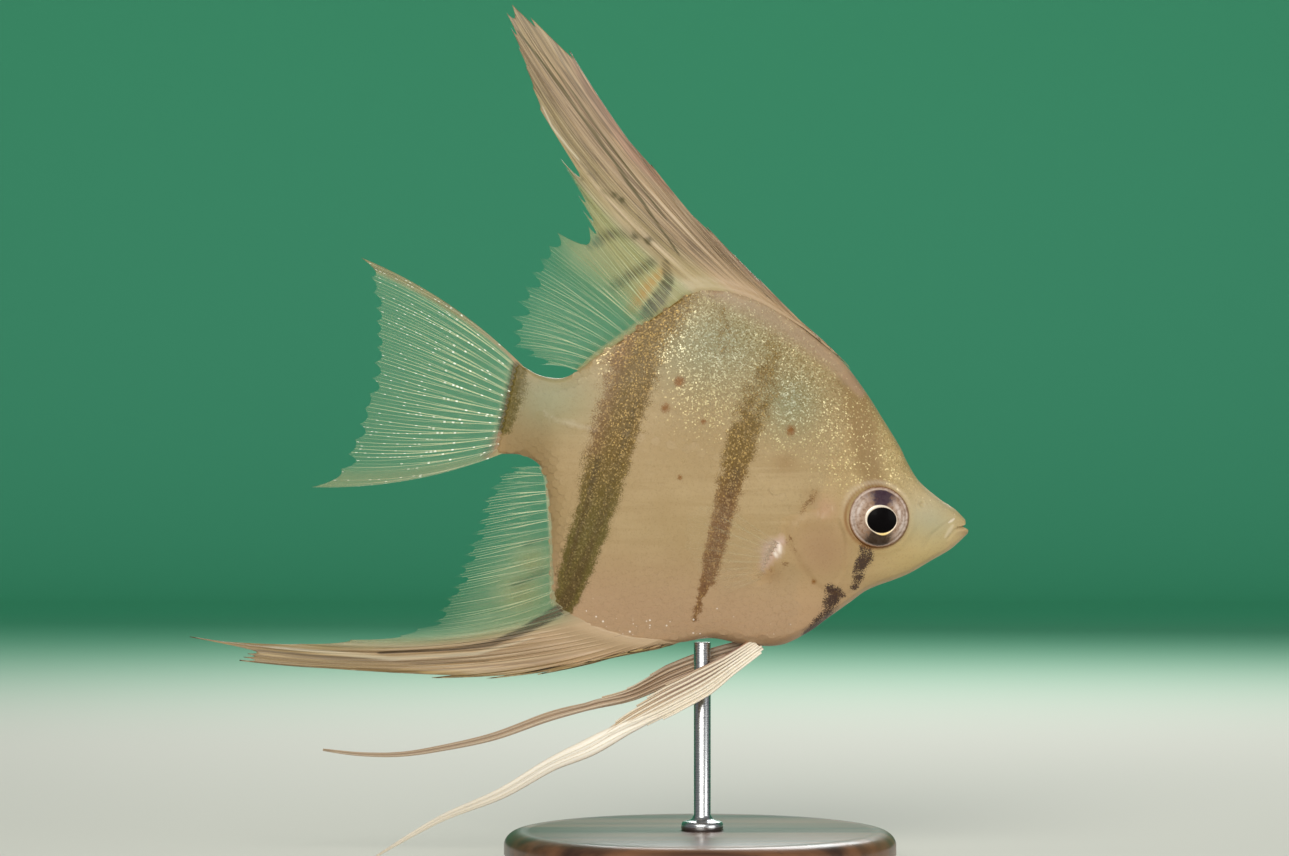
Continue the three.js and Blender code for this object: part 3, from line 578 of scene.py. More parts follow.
@dataclass(frozen=True)
class SkinFinish:
    """Tan skin with golden glitter, brown bars and a silvery back, painted shade on the gill cover and round
    the eye, and painted highlights on the lip, the pectoral root and the belly.
    """

    tan: tuple = linear(177, 151, 110)
    tan_shade: tuple = linear(168, 141, 99)
    blush: tuple = linear(184, 149, 117)
    silver: tuple = linear(138, 138, 102)
    silver_light: tuple = linear(206, 204, 174)
    gold: tuple = linear(232, 214, 158)
    gold_shade: tuple = linear(124, 106, 62)
    bar: tuple = linear(100, 74, 12)
    bar_dark: tuple = linear(74, 56, 8)
    bar_glint: tuple = linear(194, 156, 84)
    olive: tuple = linear(86, 74, 14)
    olive_glint: tuple = linear(136, 114, 52)
    russet: tuple = linear(120, 78, 48)
    face: tuple = linear(190, 172, 110)
    # darker tan for the nape, the fin sheath and the tail root, and painted shade on the gill cover
    deep: tuple = linear(140, 112, 72)
    ink: tuple = linear(46, 24, 24)
    pepper: tuple = linear(112, 84, 52)
    # orange-brown of the freckles, also used for the painted shade round the eye
    freckle: tuple = linear(124, 76, 14)
    lilac: tuple = linear(190, 160, 150)
    pale: tuple = linear(240, 228, 216)
    freckles: Rows = ((12.9, 62.1, 0.66), (-5.0, 65.3, 0.6), (-2.9, 69.0, 0.7), (0.4, 63.3, 0.36),
                      (-2.9, 55.4, 0.34), (16.1, 40.6, 0.4))
    grain: float = 5400.0        # glitter cells to the metre
    fine_grain: float = 6400.0
    # cells of the painted white glints on the belly, to the metre
    fleck_grain: float = 2100.0

    def material(self) -> bpy.types.Material:
        """Builds the material."""
        s = Shader("angelfish_skin")
        broad, fine, cloud = s.noise(80.0, 3.0), s.noise(self.fine_grain), s.noise(700.0, 3.0)
        muscle = s.noise(1.0, 2.0, s.stretched((60.0, 300.0, 900.0), -0.2))
        _, random, spread = s.cells(self.grain)
        silver, gold, olive, bar, russet, ink = (
            s.mask(name) for name in ("silver", "gold", "olive", "bar", "russet", "ink"))
        s.base = s.mix(broad.scaled(0.35, 0.65), self.tan, self.tan_shade)
        s.over(self.tan_shade, muscle.scaled(0.42, 0.62, 0.0, 0.8))
        # The deep mask carries painted shade on the gill cover as well as darker tone.
        for name in ("blush", "face", "deep"):
            s.over(getattr(self, name), s.mask(name))
        s.over(self.silver, silver * 0.85)
        s.over(self.pepper, random[1].scaled(0.7, 1.0, 0.0, 0.13))
        s.over(self.gold_shade, gold * random[2].scaled(0.25, 0.9, 0.1, 0.8))
        speck = (random[0] + gold * 0.36 - 1.0).scaled(0.0, 0.12)
        glitter = s.mix(silver, self.gold, self.silver_light)
        s.over(glitter, speck * random[1].scaled(0.0, 1.0, 0.2, 0.95))
        grainy = fine.scaled(0.3, 0.7, -0.22, 0.22) + cloud.scaled(0.3, 0.7, -0.16, 0.16)
        glint = random[2].scaled(olive * 0.08 + 0.62, 1.0) * random[0].scaled(0.0, 1.0, 0.4, 0.85)
        glint = glint * russet.scaled(0.0, 1.0, 1.0, 0.5)
        core = bar.scaled(0.95, 1.4)
        brown = s.mix(russet * 0.75, s.mix(core, self.bar, self.bar_dark), self.russet)
        brown = s.mix(glint, brown, self.bar_glint)
        green = s.mix(glint * 0.7, s.mix(core, self.olive, self.bar_dark), self.olive_glint)
        s.over(s.mix(olive, brown, green), (bar + grainy).scaled(0.2, 0.78, 0.0, 0.92))
        inky = (ink + grainy * 1.9).scaled(0.2, 0.85) * ink.scaled(0.05, 0.3)
        s.over(s.mix(glint, self.ink, self.bar), inky * 0.94)
        # Orange freckles and marks, with the painted shade in the groove round the eye.
        s.over(self.freckle, s.mask("freckle") * 0.9)
        s.over(self.freckle, s.spots(self.freckles, grainy * 1.4) * 0.92)
        # The pale mask holds painted highlights as well as pale skin.
        for name in ("lilac", "pale"):
            s.over(getattr(self, name), s.mask(name))
        # Painted highlights: small white glints strewn over the belly.
        gap, shine, _ = s.cells(self.fleck_grain)
        wide = shine[1].scaled(0.0, 1.0, 0.2, 0.46)
        lucky = (s.mask("fleck") * 0.16 + shine[0]).scaled(1.0, 1.03)
        s.over(self.pale, gap.scaled(wide, wide * 0.5) * lucky)
        facets = s.tilted(spread, (gold | bar) * 0.4 + 0.06)
        return s.finish(
            normal=s.bump(fine, 0.1, 0.00005, Normal=facets), roughness=speck.scaled(0.0, 1.0, 0.48, 0.3),
            metallic=speck * 0.35, specular_ior_level=0.28, coat_weight=0.1, coat_roughness=0.25,
            subsurface_weight=0.1, subsurface_radius=(0.0014, 0.0008, 0.0004), subsurface_scale=1.0,
        )


@dataclass(frozen=True)
class FinFinish:
    """A rayed membrane, clear or clouded, with pale bony rays."""

    name: str
    membrane: tuple = linear(178, 190, 148)
    ray: tuple = linear(216, 222, 180)
    stain: tuple = linear(74, 66, 26)
    amber: tuple = linear(180, 128, 44)
    leaf: tuple = linear(150, 142, 88)
    blush: tuple = linear(172, 120, 104)
    flesh: tuple = linear(173, 146, 113)
    groove: tuple = linear(74, 57, 38)
    lace: tuple = linear(198, 178, 150)   # pale lines of a clouded blade
    pale: tuple = linear(240, 232, 206)
    bead: tuple = linear(250, 252, 234)
    ray_cover: float = 0.8
    ray_root: float = 0.15       # half width of a ray, in millimetres
    ray_tip: float = 0.06
    branch_from: float = 0.4
    branch_spread: float = 0.26  # of the space between two rays
    twig_spread: float = 0.125   # the same where each branch splits again
    joint: float = 0.62          # length of a ray's segments, in millimetres
    joint_cover: float = 0.4
    beads: float = 0.0           # how many segments shine white
    film: float = 0.22           # cover of the fine lines in the web
    plain: float = 7.0           # millimetres from the root that the dark lines take to show
    strands: float = 1.6         # dark strands to the ray
    roughness: float = 0.42

    def material(self) -> bpy.types.Material:
        """Builds the material."""
        s = Shader(self.name)
        column, reach, run, spacing, dense = (
            s.mask(name) for name in ("column", "reach", "run", "spacing", "dense"))
        centred = abs((column + 0.5).fraction() - 0.5)
        quarter = column * 4.0
        each = s.chance(quarter.floor(), 7.0)
        splits = spacing * s.mask("soft")
        off = centred * spacing
        for start, end, spread in ((self.branch_from, 1.0, self.branch_spread), (0.1, 0.9, self.twig_spread)):
            off = abs(off - reach.scaled(start, end, 0.0, spread) * splits)
        width = reach.scaled(0.0, 1.0, self.ray_root, self.ray_tip)
        ray = off.scaled(width, width * 0.3)
        streak = s.grid(column * 4.2, reach * 2.4, 3.0)
        thread = s.grid(column * 22.0, reach * 5.0, 2.0)
        strand = s.grid(column * self.strands, reach * 1.2, 3.0, 4.0)
        fibre = thread.scaled(0.52, 0.68)
        shown = run.scaled(0.5, self.plain, 0.08, 1.0)
        s.base = s.mix(dense, self.membrane, self.flesh)
        for name in ("blush", "leaf", "amber"):
            s.over(getattr(self, name), s.mask(name))
        valley = centred.scaled(0.3, 0.47) * s.chance(column.floor(), 3.0).scaled(0.1, 0.9, 0.2, 1.0)
        line = valley | strand.scaled(0.46, 0.36) * 0.6 | abs(strand - 0.48).scaled(0.055, 0.015)
        line = line | streak.scaled(0.49, 0.38, 0.0, 0.85) | thread.scaled(0.5, 0.4, 0.0, 0.7)
        seam = abs((quarter + 0.5).fraction() - 0.5).scaled(0.2, 0.04)
        seam = seam * s.chance(quarter.rounded(), 5.0).scaled(0.0, 1.0, 0.3, 1.0)
        line = line * streak.scaled(0.25, 0.6, 0.6, 1.0) | seam * reach.scaled(0.1, 0.7, 0.2, 0.95)
        s.over(self.groove, line * shown * dense * 0.78)
        lace = fibre * 0.4 | strand.scaled(0.54, 0.7, 0.0, 0.8)
        s.over(self.lace, lace * shown * dense)
        dark = (s.mask("stain") * streak.scaled(0.25, 0.7, 0.55, 1.25)).scaled(0.05, 0.95)
        s.over(self.stain, dark.scaled(0.0, dense.scaled(0.0, 1.0, 0.6, 1.0), 0.0, 0.92))
        pale = s.mask("pale")
        s.over(self.pale, pale)
        standing = shown | 1.0 - dense
        bony = ray * dark.scaled(0.0, 1.0, 0.85, 0.25) * each.scaled(0.0, 1.0, 0.6, 1.0) * standing
        s.over(s.mix(dense, self.ray, self.lace), bony)
        steps = run / self.joint + each * 3.0
        notch = abs(steps.fraction() - 0.5)
        s.over(self.groove, notch.scaled(0.42, 0.5) * ray * self.joint_cover)
        cover = ray * each.scaled(0.0, 1.0, 0.5 * self.ray_cover, self.ray_cover)
        cover = cover * streak.scaled(0.25, 0.6, 0.55, 1.0) * reach.scaled(0.7, 1.0, 1.0, 0.6)
        film = fibre * reach.scaled(0.3, 1.0, self.film, 0.3 * self.film)
        cover = cover | film | s.mask("veil") | dark * 0.75 | pale
        if self.beads:
            lucky = s.chance(quarter.floor(), steps.floor()).below(each * self.beads)
            bead = lucky * ray * notch.scaled(0.36, 0.2)
            s.over(self.bead, bead)
            cover = cover | bead
        return s.finish(
            alpha=cover, roughness=self.roughness, coat_weight=0.06, coat_roughness=0.25,
            normal=s.bump((ray + thread * 0.8) * standing, 0.5, 0.00009),
            subsurface_weight=0.05, subsurface_radius=(0.001, 0.0007, 0.0004), subsurface_scale=1.0,
        )


@dataclass(frozen=True)
class EyeFinish:
    """A moist eye: black pupil, pale gold ring with a painted reflection at its foot, and silvery pink iris.
    """

    iris: tuple = linear(134, 105, 84)
    iris_light: tuple = linear(170, 144, 126)
    silver: tuple = linear(222, 210, 204)
    pupil: tuple = linear(6, 4, 5)
    ring: tuple = linear(236, 222, 204)
    # bright gold of the painted reflection at the foot of the ring
    glow: tuple = linear(255, 222, 150)
    upper: tuple = linear(44, 30, 50)
    lower: tuple = linear(34, 24, 16)
    rim: tuple = linear(128, 82, 42)

    def material(self) -> bpy.types.Material:
        """Builds the material."""
        s = Shader("angelfish_eye")
        fibre = s.noise(1900.0, 3.0)
        s.base = s.mix(fibre.scaled(0.35, 0.65), self.iris, self.iris_light)
        s.over(self.silver, s.mask("halo") * fibre.scaled(0.3, 0.6, 0.6, 1.0))
        for name, tone in (("upper_patch", self.upper), ("lower_patch", self.lower)):
            ragged = s.mask(name) + fibre.scaled(0.3, 0.7, -0.22, 0.22)
            s.over(tone, ragged.scaled(0.15, 0.95) * 0.9)
        ring, pupil = s.mask("ring"), s.mask("pupil")
        s.over(self.rim, s.mask("rim"))
        # Painted reflection: the ring turns bright gold at its foot.
        s.over(s.mix(s.mask("glow"), self.ring, self.glow), ring)
        s.over(self.pupil, pupil)
        return s.finish(
            roughness=ring.scaled(0.0, 1.0, 0.42, 0.3), specular_ior_level=0.04, metallic=ring * 0.2,
            normal=s.bump(fibre, 0.08, 0.00005), coat_weight=pupil.scaled(0.0, 1.0, 0.12, 0.02),
            coat_roughness=0.06,
        )


@dataclass(frozen=True)
class WoodFinish:
    """Dark walnut with a satin varnish."""

    light: tuple = linear(120, 80, 52)
    dark: tuple = linear(58, 34, 22)

    def material(self) -> bpy.types.Material:
        """Builds the material."""
        s = Shader("stand_walnut")
        grain = s.noise(1.0, 5.0, s.stretched((14.0, 260.0, 260.0)))
        pores = s.noise(1.0, 2.0, s.stretched((180.0, 2600.0, 2600.0)))
        s.base = s.mix(grain.scaled(0.3, 0.7), self.dark, self.light)
        s.over(self.dark, pores.scaled(0.62, 0.75, 0.0, 0.7))
        return s.finish(
            roughness=grain.scaled(0.2, 0.8, 0.34, 0.46), normal=s.bump(pores, 0.25, 0.00005),
            coat_weight=0.35, coat_roughness=0.18,
        )


@dataclass(frozen=True)
class SteelFinish:
    """Brushed steel, with the lines of the lathe."""

    tone: tuple = (0.56, 0.57, 0.58, 1.0)

    def material(self) -> bpy.types.Material:
        """Builds the material."""
        s = Shader("stand_steel")
        lines = s.noise(1.0, 2.0, s.stretched((60.0, 60.0, 9000.0)))
        s.base = self.tone
        return s.finish(
            metallic=1.0, roughness=lines.scaled(0.3, 0.7, 0.2, 0.36), normal=s.bump(lines, 0.15, 0.00002))


# ---------------------------------------------------------------------------
# Body
# ---------------------------------------------------------------------------


@dataclass(frozen=True)
class Station:
    """A section of the body between a point of its upper and its lower outline."""

    upper: tuple[float, float]
    lower: tuple[float, float]
    half: float
    top: float
    bottom: float


STATIONS = (
    Station((38.0, 49.4), (38.1, 47.4), 0.95, 0.55, 0.55),
    Station((36.4, 51.0), (35.7, 45.0), 1.95, 0.8, 0.8),
    Station((34.3, 52.4), (32.9, 43.3), 2.65, 0.9, 0.9),
    Station((31.4, 54.9), (30.0, 41.6), 3.3, 0.9, 0.9),
    Station((29.7, 57.6), (27.6, 40.6), 3.75, 0.9, 0.9),
    Station((28.6, 59.9), (25.6, 39.9), 4.1, 0.85, 0.9),
    Station((25.9, 64.3), (23.6, 39.0), 4.45, 0.8, 0.9),
    Station((23.6, 67.9), (21.4, 37.4), 4.8, 0.8, 1.0),
    Station((20.4, 72.1), (18.6, 35.4), 5.1, 0.75, 1.1),
    Station((17.1, 74.9), (15.4, 33.1), 5.25, 0.75, 1.3),
    Station((13.6, 77.7), (11.4, 31.3), 5.25, 0.75, 1.6),
    Station((8.9, 80.6), (6.4, 31.4), 5.1, 0.75, 1.6),
    Station((4.6, 82.1), (1.7, 32.3), 4.85, 0.75, 1.1),
    Station((0.7, 82.4), (-2.9, 31.7), 4.55, 0.75, 0.8),
    Station((-2.1, 81.6), (-7.9, 31.7), 4.2, 0.75, 0.75),
    Station((-4.6, 79.9), (-12.9, 32.7), 3.8, 0.75, 0.75),
    Station((-6.9, 78.3), (-17.4, 34.4), 3.45, 0.75, 0.75),
    Station((-9.1, 76.7), (-20.7, 37.0), 3.1, 0.75, 0.75),
    Station((-11.1, 75.3), (-21.2, 41.4), 2.8, 0.75, 0.75),
    Station((-13.1, 74.0), (-21.3, 47.1), 2.5, 0.75, 0.75),
    Station((-15.0, 72.7), (-21.7, 52.1), 2.3, 0.75, 0.75),
    Station((-17.1, 71.0), (-22.1, 55.4), 2.15, 0.75, 0.75),
    Station((-19.7, 69.7), (-23.4, 57.4), 1.95, 0.8, 0.8),
    Station((-22.9, 70.1), (-25.7, 58.5), 1.45, 0.7, 0.7),
    Station((-25.7, 71.7), (-28.7, 58.6), 0.75, 0.5, 0.5),
)


@dataclass(frozen=True)
class Fold:
    """A ridge, or a groove where the height is negative, along a line of the skin."""

    line: Line
    height: float
    width: float

    def over(self, x: Array, z: Array) -> Array:
        """The fold's height over places in the side view."""
        return self.height * bell(line_distance(x, z, self.line), self.width)


MOUTH: Line = ((38.8, 48.3), (37.6, 48.3), (36.7, 48.2))
GAPE: Line = ((36.7, 48.2), (35.9, 47.6), (35.2, 46.6))
MAXILLA: Line = ((36.3, 49.7), (34.6, 48.6), (32.9, 47.2), (32.1, 45.4))
GILL_MARGIN: Line = ((17.2, 50.3), (14.8, 50.3), (13.1, 49.2), (12.4, 47.6), (12.6, 46.0),
                     (13.4, 44.6), (14.3, 43.1), (15.4, 41.6), (16.6, 40.2), (18.0, 39.2),
                     (19.6, 38.7), (21.2, 39.0))
GILL_COVER: Line = GILL_MARGIN + ((22.1, 41.6), (21.7, 46.4), (20.4, 49.0))
CHEEK_BONE: Line = ((19.9, 49.3), (20.8, 47.6), (21.0, 45.7), (20.7, 42.1), (19.3, 39.9))
LATERAL: Line = ((-22.5, 64.6), (-20.4, 63.6), (-16.7, 62.6), (-8.6, 60.7), (0.0, 59.3),
                 (7.1, 56.4), (12.9, 52.1))
FIN_SOCKET: Line = ((11.6, 45.6), (10.4, 43.9), (9.2, 41.8))
FOLDS = (
    Fold(MOUTH, 0.22, 0.85), Fold(MOUTH, -0.26, 0.16), Fold(GAPE, -0.16, 0.22), Fold(GAPE, 0.1, 0.8),
    Fold(MAXILLA, -0.1, 0.2), Fold(((35.6, 50.1), (33.8, 48.9), (31.9, 47.0)), 0.07, 0.5),
    Fold(CHEEK_BONE, 0.17, 0.45), Fold(tuple((x - 0.7, z) for x, z in CHEEK_BONE), -0.12, 0.22),
    Fold(GILL_MARGIN, -0.22, 0.24),
    Fold(((16.9, 45.6), (15.0, 44.2), (13.9, 43.9)), -0.07, 0.25),
    Fold(((30.2, 42.6), (26.5, 41.4), (22.8, 39.7), (19.5, 37.6)), -0.1, 0.25),
    Fold(((29.0, 42.0), (25.5, 40.7), (22.2, 38.8)), -0.08, 0.2),
    Fold(LATERAL, 0.05, 0.22),
    Fold(FIN_SOCKET, 0.34, 0.7), Fold(((12.9, 46.3), (12.3, 45.0), (11.8, 44.0)), -0.16, 0.2),
)
ROUND_FORMS: Rows = (     # x, z, height and width of the low round forms of the skin
    (30.6, 46.4, -0.2, 2.2), (10.4, 43.8, 0.25, 2.8))
EYE_SHIFT = (0.35, 0.1)   # the eye stands out, so it looks nearer to the snout than it is
EYE_SWELL = 1.04       # the moist eye beside its solid
EYE_DOME = 1.5         # how far the eye stands out of its rim
EYE_DIP = 2.3          # how far the skin drops under the eyeball
NOSTRIL = (31.5, 51.6)
MOUTH_SHARE = 0.46     # height of the gape at the tip of the snout
CLEFT = 0.6            # how far the gape cuts back into the snout
UNDERBITE = 0.32       # how far the lower lip stands out before the upper one
NOSE_FROM = 0.12       # station where the rounding of the snout starts
TAIL_REACH = 0.9       # how far the skin runs out over the rays of the tail


@dataclass
class Body:
    """The shape of the flesh, from the snout to the root of the tail."""

    eye: tuple[float, float]
    eye_radius: float
    lean: float = 0.9
    fullness: float = 0.58
    lines: dict[str, tuple] = field(init=False)

    def __post_init__(self) -> None:
        """Gathers the numbers of the stations."""
        upper = np.array([s.upper for s in STATIONS])
        lower = np.array([s.lower for s in STATIONS])
        self.lines = {"upper": (upper, 1.0), "lower": (lower, -1.0)}
        self.last = len(STATIONS) - 1
        self.half, self.top, self.bottom = (
            np.array([getattr(s, key) for s in STATIONS]) for key in ("half", "top", "bottom"))

    def outline(self, name: str, at: Array, out: float = 0.0) -> tuple[Array, Array]:
        """Places on an outline.

        Args:
            name: upper or lower.
            at: station numbers.
            out: how far the outline is moved outward.

        Returns:
            X and Z there.
        """
        points, sign = self.lines[name]
        xs, zs = points[:, 0], points[:, 1]
        a, b = np.clip(at - 0.02, 0, self.last), np.clip(at + 0.02, 0, self.last)
        dx, dz = smooth(xs, b) - smooth(xs, a), smooth(zs, b) - smooth(zs, a)
        run = np.hypot(dx, dz)
        return smooth(xs, at) + sign * out * dz / run, smooth(zs, at) - sign * out * dx / run

    def relief(self, x: Array, z: Array) -> Array:
        """The low forms of the skin over places in the side view."""
        r = np.hypot(x - self.eye[0], z - self.eye[1]) - self.eye_radius
        height = 0.22 * bell(r - 0.6, 0.55) + 0.1 * bell(r - 0.15, 0.16)
        height -= EYE_DIP * ease(-0.3, -1.0, r)
        nose = np.hypot(x - NOSTRIL[0], z - NOSTRIL[1])
        height += 0.1 * bell(nose - 0.55, 0.2) - 0.5 * bell(nose, 0.3)
        for a, b, high, width in ROUND_FORMS:
            height += high * bell(np.hypot(x - a, z - b), width)
        plate = inside(x, z, GILL_COVER) * bell(line_distance(x, z, GILL_MARGIN) - 0.55, 1.5)
        height += 0.2 * plate
        return height + sum(fold.over(x, z) for fold in FOLDS)

    def section(self, at: Array, share: Array, out: float) -> tuple:
        """Places of the skin.

        Args:
            at: station numbers, where past the last one the skin runs out over the tail.
            share: 0 on the lower outline to 1 on the upper one.
            out: how far the skin is moved outward.

        Returns:
            X, Z and the half width.
        """
        body = np.clip(at, 0, self.last)
        ux, uz = self.outline("upper", body, out)
        lx, lz = self.outline("lower", body, out)
        past = unit(at - self.last)
        height = np.hypot(ux - lx, uz - lz)
        turn = np.clip((NOSE_FROM - at) / NOSE_FROM, 0, 0.97)
        shrink = np.sqrt(1 - turn**2)
        lobe = np.where(share > MOUTH_SHARE, (1 + MOUTH_SHARE) / 2, MOUTH_SHARE / 2)
        cleft = CLEFT * bell((share - MOUTH_SHARE) * height, 0.24) * ease(1.0, 0.0, at)
        cleft = cleft - UNDERBITE * (share < MOUTH_SHARE) * ease(1.6, 0.0, at)
        share = lerp(lobe, share, shrink)
        finger = TAIL_REACH * past * (0.45 + 0.55 * np.cos(math.pi * (CAUDAL_RAYS - 1) * share) ** 2)
        x = lerp(lx, ux, share) - lerp(0.98, 0.83, share) * finger
        z = lerp(lz, uz, share) + lerp(-0.17, 0.55, share) * finger
        edge = lerp(smooth(self.bottom, body), smooth(self.top, body), share)
        wedge = ease(12, 14, body) * ease(0.3, 0.0, share) + ease(7, 9, body) * ease(0.75, 1.0, share)
        swell = np.maximum(0, np.sin(np.pi * share**self.lean)) ** lerp(self.fullness, 1.0, wedge)
        half = edge + (smooth(self.half, body) - edge) * swell
        near = unit(np.minimum(share, 1 - share) * height / edge)
        rounding = np.sqrt(np.maximum(0, 1 - (1 - near) ** 2))
        half = lerp(half, 0.28, ease(0, 1, past)) * rounding * shrink + out * rounding
        half += unit(4 * share * (1 - share)) * self.relief(x, z) * (1 - past)
        return x - cleft, z, np.maximum(half, 0.04 * rounding)


@dataclass
class Markings:
    """Where the skin's colours lie, as masks over the side view."""

    eye: tuple[float, float]
    eye_radius: float
    bars: tuple[Rows, ...] = (
        ((-4.4, 81.6, 7.4), (-7.9, 76.4, 7.6), (-9.7, 70.7, 7.3), (-11.4, 65.0, 6.6),
         (-12.6, 60.7, 6.1), (-13.9, 56.4, 5.6), (-15.0, 50.7, 5.0), (-16.6, 46.4, 4.6),
         (-18.3, 40.7, 3.9), (-19.7, 37.1, 3.4), (-22.1, 34.7, 2.3), (-25.7, 33.6, 1.4),
         (-28.6, 33.3, 1.0)),
        ((9.3, 69.8, 4.8), (7.9, 65.7, 5.2), (6.4, 62.1, 4.5), (5.2, 57.9, 3.9),
         (3.8, 52.1, 3.2), (2.8, 47.9, 2.9), (1.8, 43.6, 2.5), (1.1, 40.8, 1.9),
         (0.5, 39.2, 0.9), (0.0, 38.0, 0.4), (-0.4, 36.7, 1.2), (-0.8, 35.1, 0.7)),
        ((-25.6, 71.2, 2.0), (-26.0, 67.9, 2.5), (-26.7, 65.7, 2.4), (-27.9, 62.4, 1.8)),
    )
    dark_lines: tuple[Rows, ...] = (
        ((-7.2, 70.0, 0.8), (-9.5, 64.0, 1.6), (-11.0, 57.5, 1.8), (-13.1, 51.0, 1.8), (-14.4, 47.0, 1.8),
         (-16.6, 42.0, 2.4), (-18.6, 38.0, 2.6), (-21.0, 36.0, 1.2)),
        ((-14.5, 58.0, 0.8), (-16.6, 51.0, 1.2), (-18.2, 46.0, 1.2), (-19.6, 41.0, 1.2)),
        ((5.4, 56.5, 1.0), (4.2, 53.0, 1.8), (2.8, 47.5, 1.6), (1.2, 41.4, 1.2), (0.0, 37.0, 0.8)),
    )
    faint_bars: tuple[Rows, ...] = (
        ((0.7, 83.6, 2.0), (2.9, 79.3, 2.3), (3.9, 75.0, 2.1), (2.9, 73.6, 1.7)),
        ((10.7, 74.3, 3.4), (9.3, 69.3, 4.0)),
    )
    nape: Rows = ((21.6, 69.0, 4.4), (23.1, 62.9, 4.2), (24.0, 57.6, 3.6), (25.0, 54.5, 3.0))
    sheath: Rows = ((1.0, 83.2, 3.0), (8.0, 80.4, 4.6), (14.0, 76.4, 3.8), (19.0, 72.2, 2.4),
                    (23.0, 67.4, 1.2))
    rust: Rows = ((-9.5, 77.5, 2.0), (-13.5, 70.0, 4.0), (-15.5, 60.0, 3.0))
    shines: Rows = (          # strength, x, z, stretch along x and z, and width of the silvery places
        (1.0, 1.5, 74.5, 1.5, 1.0, 6.5), (1.0, 13.0, 66.0, 1.0, 1.0, 4.5),
        (0.95, -21.5, 67.0, 1.4, 1.0, 5.0), (0.8, 33.0, 49.3, 1.0, 0.8, 3.6),
    )
    inks: tuple[Rows, ...] = (
        ((23.8, 45.5, 1.7), (23.6, 43.9, 2.0), (22.8, 41.9, 1.6), (22.1, 39.9, 1.2)),
        ((18.6, 39.4, 1.5), (19.2, 38.8, 2.0), (18.7, 37.4, 2.0), (18.2, 36.2, 1.5), (16.9, 34.8, 1.3),
         (15.2, 33.1, 1.1)),
        ((19.3, 38.9, 1.3), (20.7, 38.5, 0.6)),
    )
    # pale streaks by strength: a painted highlight on the upper lip, a pale line on the maxilla, a painted
    # highlight on the pectoral root, and a pale line over the gill cover
    streaks: tuple[tuple[float, Rows], ...] = (
        (0.55, ((35.5, 48.9, 0.1), (35.9, 49.15, 0.34), (36.3, 49.45, 0.2))),
        (0.22, ((35.0, 46.8, 0.3), (35.6, 47.7, 0.7), (36.1, 48.5, 0.4))),
        (0.8, ((11.6, 45.9, 0.3), (11.3, 45.0, 0.8), (10.7, 44.1, 0.4))),
        (0.3, ((14.9, 50.4, 0.1), (16.9, 50.3, 0.2), (19.0, 50.9, 0.1))),
    )
    gill_marks: tuple[Rows, ...] = (
        ((12.5, 47.8, 0.2), (13.0, 46.4, 0.32), (13.9, 44.4, 0.2)),
        ((12.0, 47.4, 0.15), (12.4, 46.2, 0.25), (12.6, 45.2, 0.15)),
        ((11.9, 46.6, 0.25), (11.0, 46.3, 0.25), (10.0, 45.0, 0.2)),
        ((10.1, 42.1, 0.3), (9.2, 41.4, 0.5), (8.2, 41.1, 0.25)),
        ((12.6, 43.4, 0.3), (11.4, 42.6, 0.5)),
        ((14.5, 50.4, 0.7), (15.6, 51.8, 1.2), (16.9, 53.8, 0.8)),
    )

    def masks(self, x: Array, z: Array) -> Masks:
        """The masks at places in the side view."""
        nape, sheath = stroke(x, z, self.nape), stroke(x, z, self.sheath)
        faded = lerp(1.0, lerp(0.88, 0.54, ease(0, 5, x)), ease(57, 69, z))
        bar = np.maximum(stroke(x, z, *self.bars) * faded, 0.4 * stroke(x, z, *self.faint_bars))
        thinned = lerp(1.0, 0.8, ease(41, 36, z) * ease(-4, -2, x))
        bar = bar * thinned + 0.36 * stroke(x, z, *self.dark_lines) * (bar > 0.3)
        bar = np.maximum(bar, 0.5 * stroke(x, z, *self.gill_marks)) * lerp(1.0, 0.92, ease(-21, -24, x))
        back = ease(56, 70, z + 0.35 * (x - 5) * (x > 5))
        gold = most(
            back * ease(-9, 2, x) * lerp(1.0, 0.62, ease(12, 20, x)),
            0.55 * ease(12, 20, x) * ease(50, 58, z),
            0.8 * ease(-22, -12, x) * ease(66, 76, z),
        )
        silver = sum(strength * bell(np.hypot((x - a) / wide, (z - b) / high), width)
                     for strength, a, b, wide, high, width in self.shines)
        rosy = blots(x, z, (17.5, 45.0, 3.6), (18.0, 50.8, 1.6), (37.5, 47.6, 1.3), (36.4, 45.8, 1.2))
        orange = blots(x, z, (10.4, 41.6, 1.4), (38.2, 47.5, 0.9), (16.3, 52.7, 1.2), (12.2, 57.5, 1.6))
        orange = np.maximum(0.3 * orange, 0.08 * bell(line_distance(x, z, GILL_MARGIN), 0.35))
        dx, dz = x - self.eye[0], z - self.eye[1]
        ray, way = np.hypot(dx, dz) - self.eye_radius, np.arctan2(dz, dx)
        # Painted shade: a brown ring in the groove round the eye, strongest below and behind it.
        socket = bell(ray - 0.12, 0.26) * lerp(0.35, 0.85, unit(0.5 + 0.5 * np.cos(way + 2.4)))
        brow = 0.2 * bell(ray - 0.5, 0.3) * unit(np.cos(way - 1.7))
        # Pale snout and pale lines, with painted highlights on the upper lip and the pectoral root.
        pale = most(0.15 * blots(x, z, (32.6, 51.0, 4.6)),
                    *(strength * stroke(x, z, rows) for strength, rows in self.streaks))
        lateral = 0.12 * bell(line_distance(x, z, LATERAL), 0.2) * ease(-14, -16, x)
        lilac = stroke(x, z, ((11.6, 46.4, 1.2), (10.2, 45.0, 2.6), (9.0, 42.6, 1.0)))
        # Where the painted white glints of the belly lie.
        fleck = ease(0.4, 0.8, stroke(x, z, ((-14.5, 35.6, 5.0), (-7.0, 33.4, 3.6))))
        strewn = stroke(x, z, ((-7.0, 33.4, 4.0), (2.0, 34.0, 5.0), (12.0, 33.6, 2.6)))
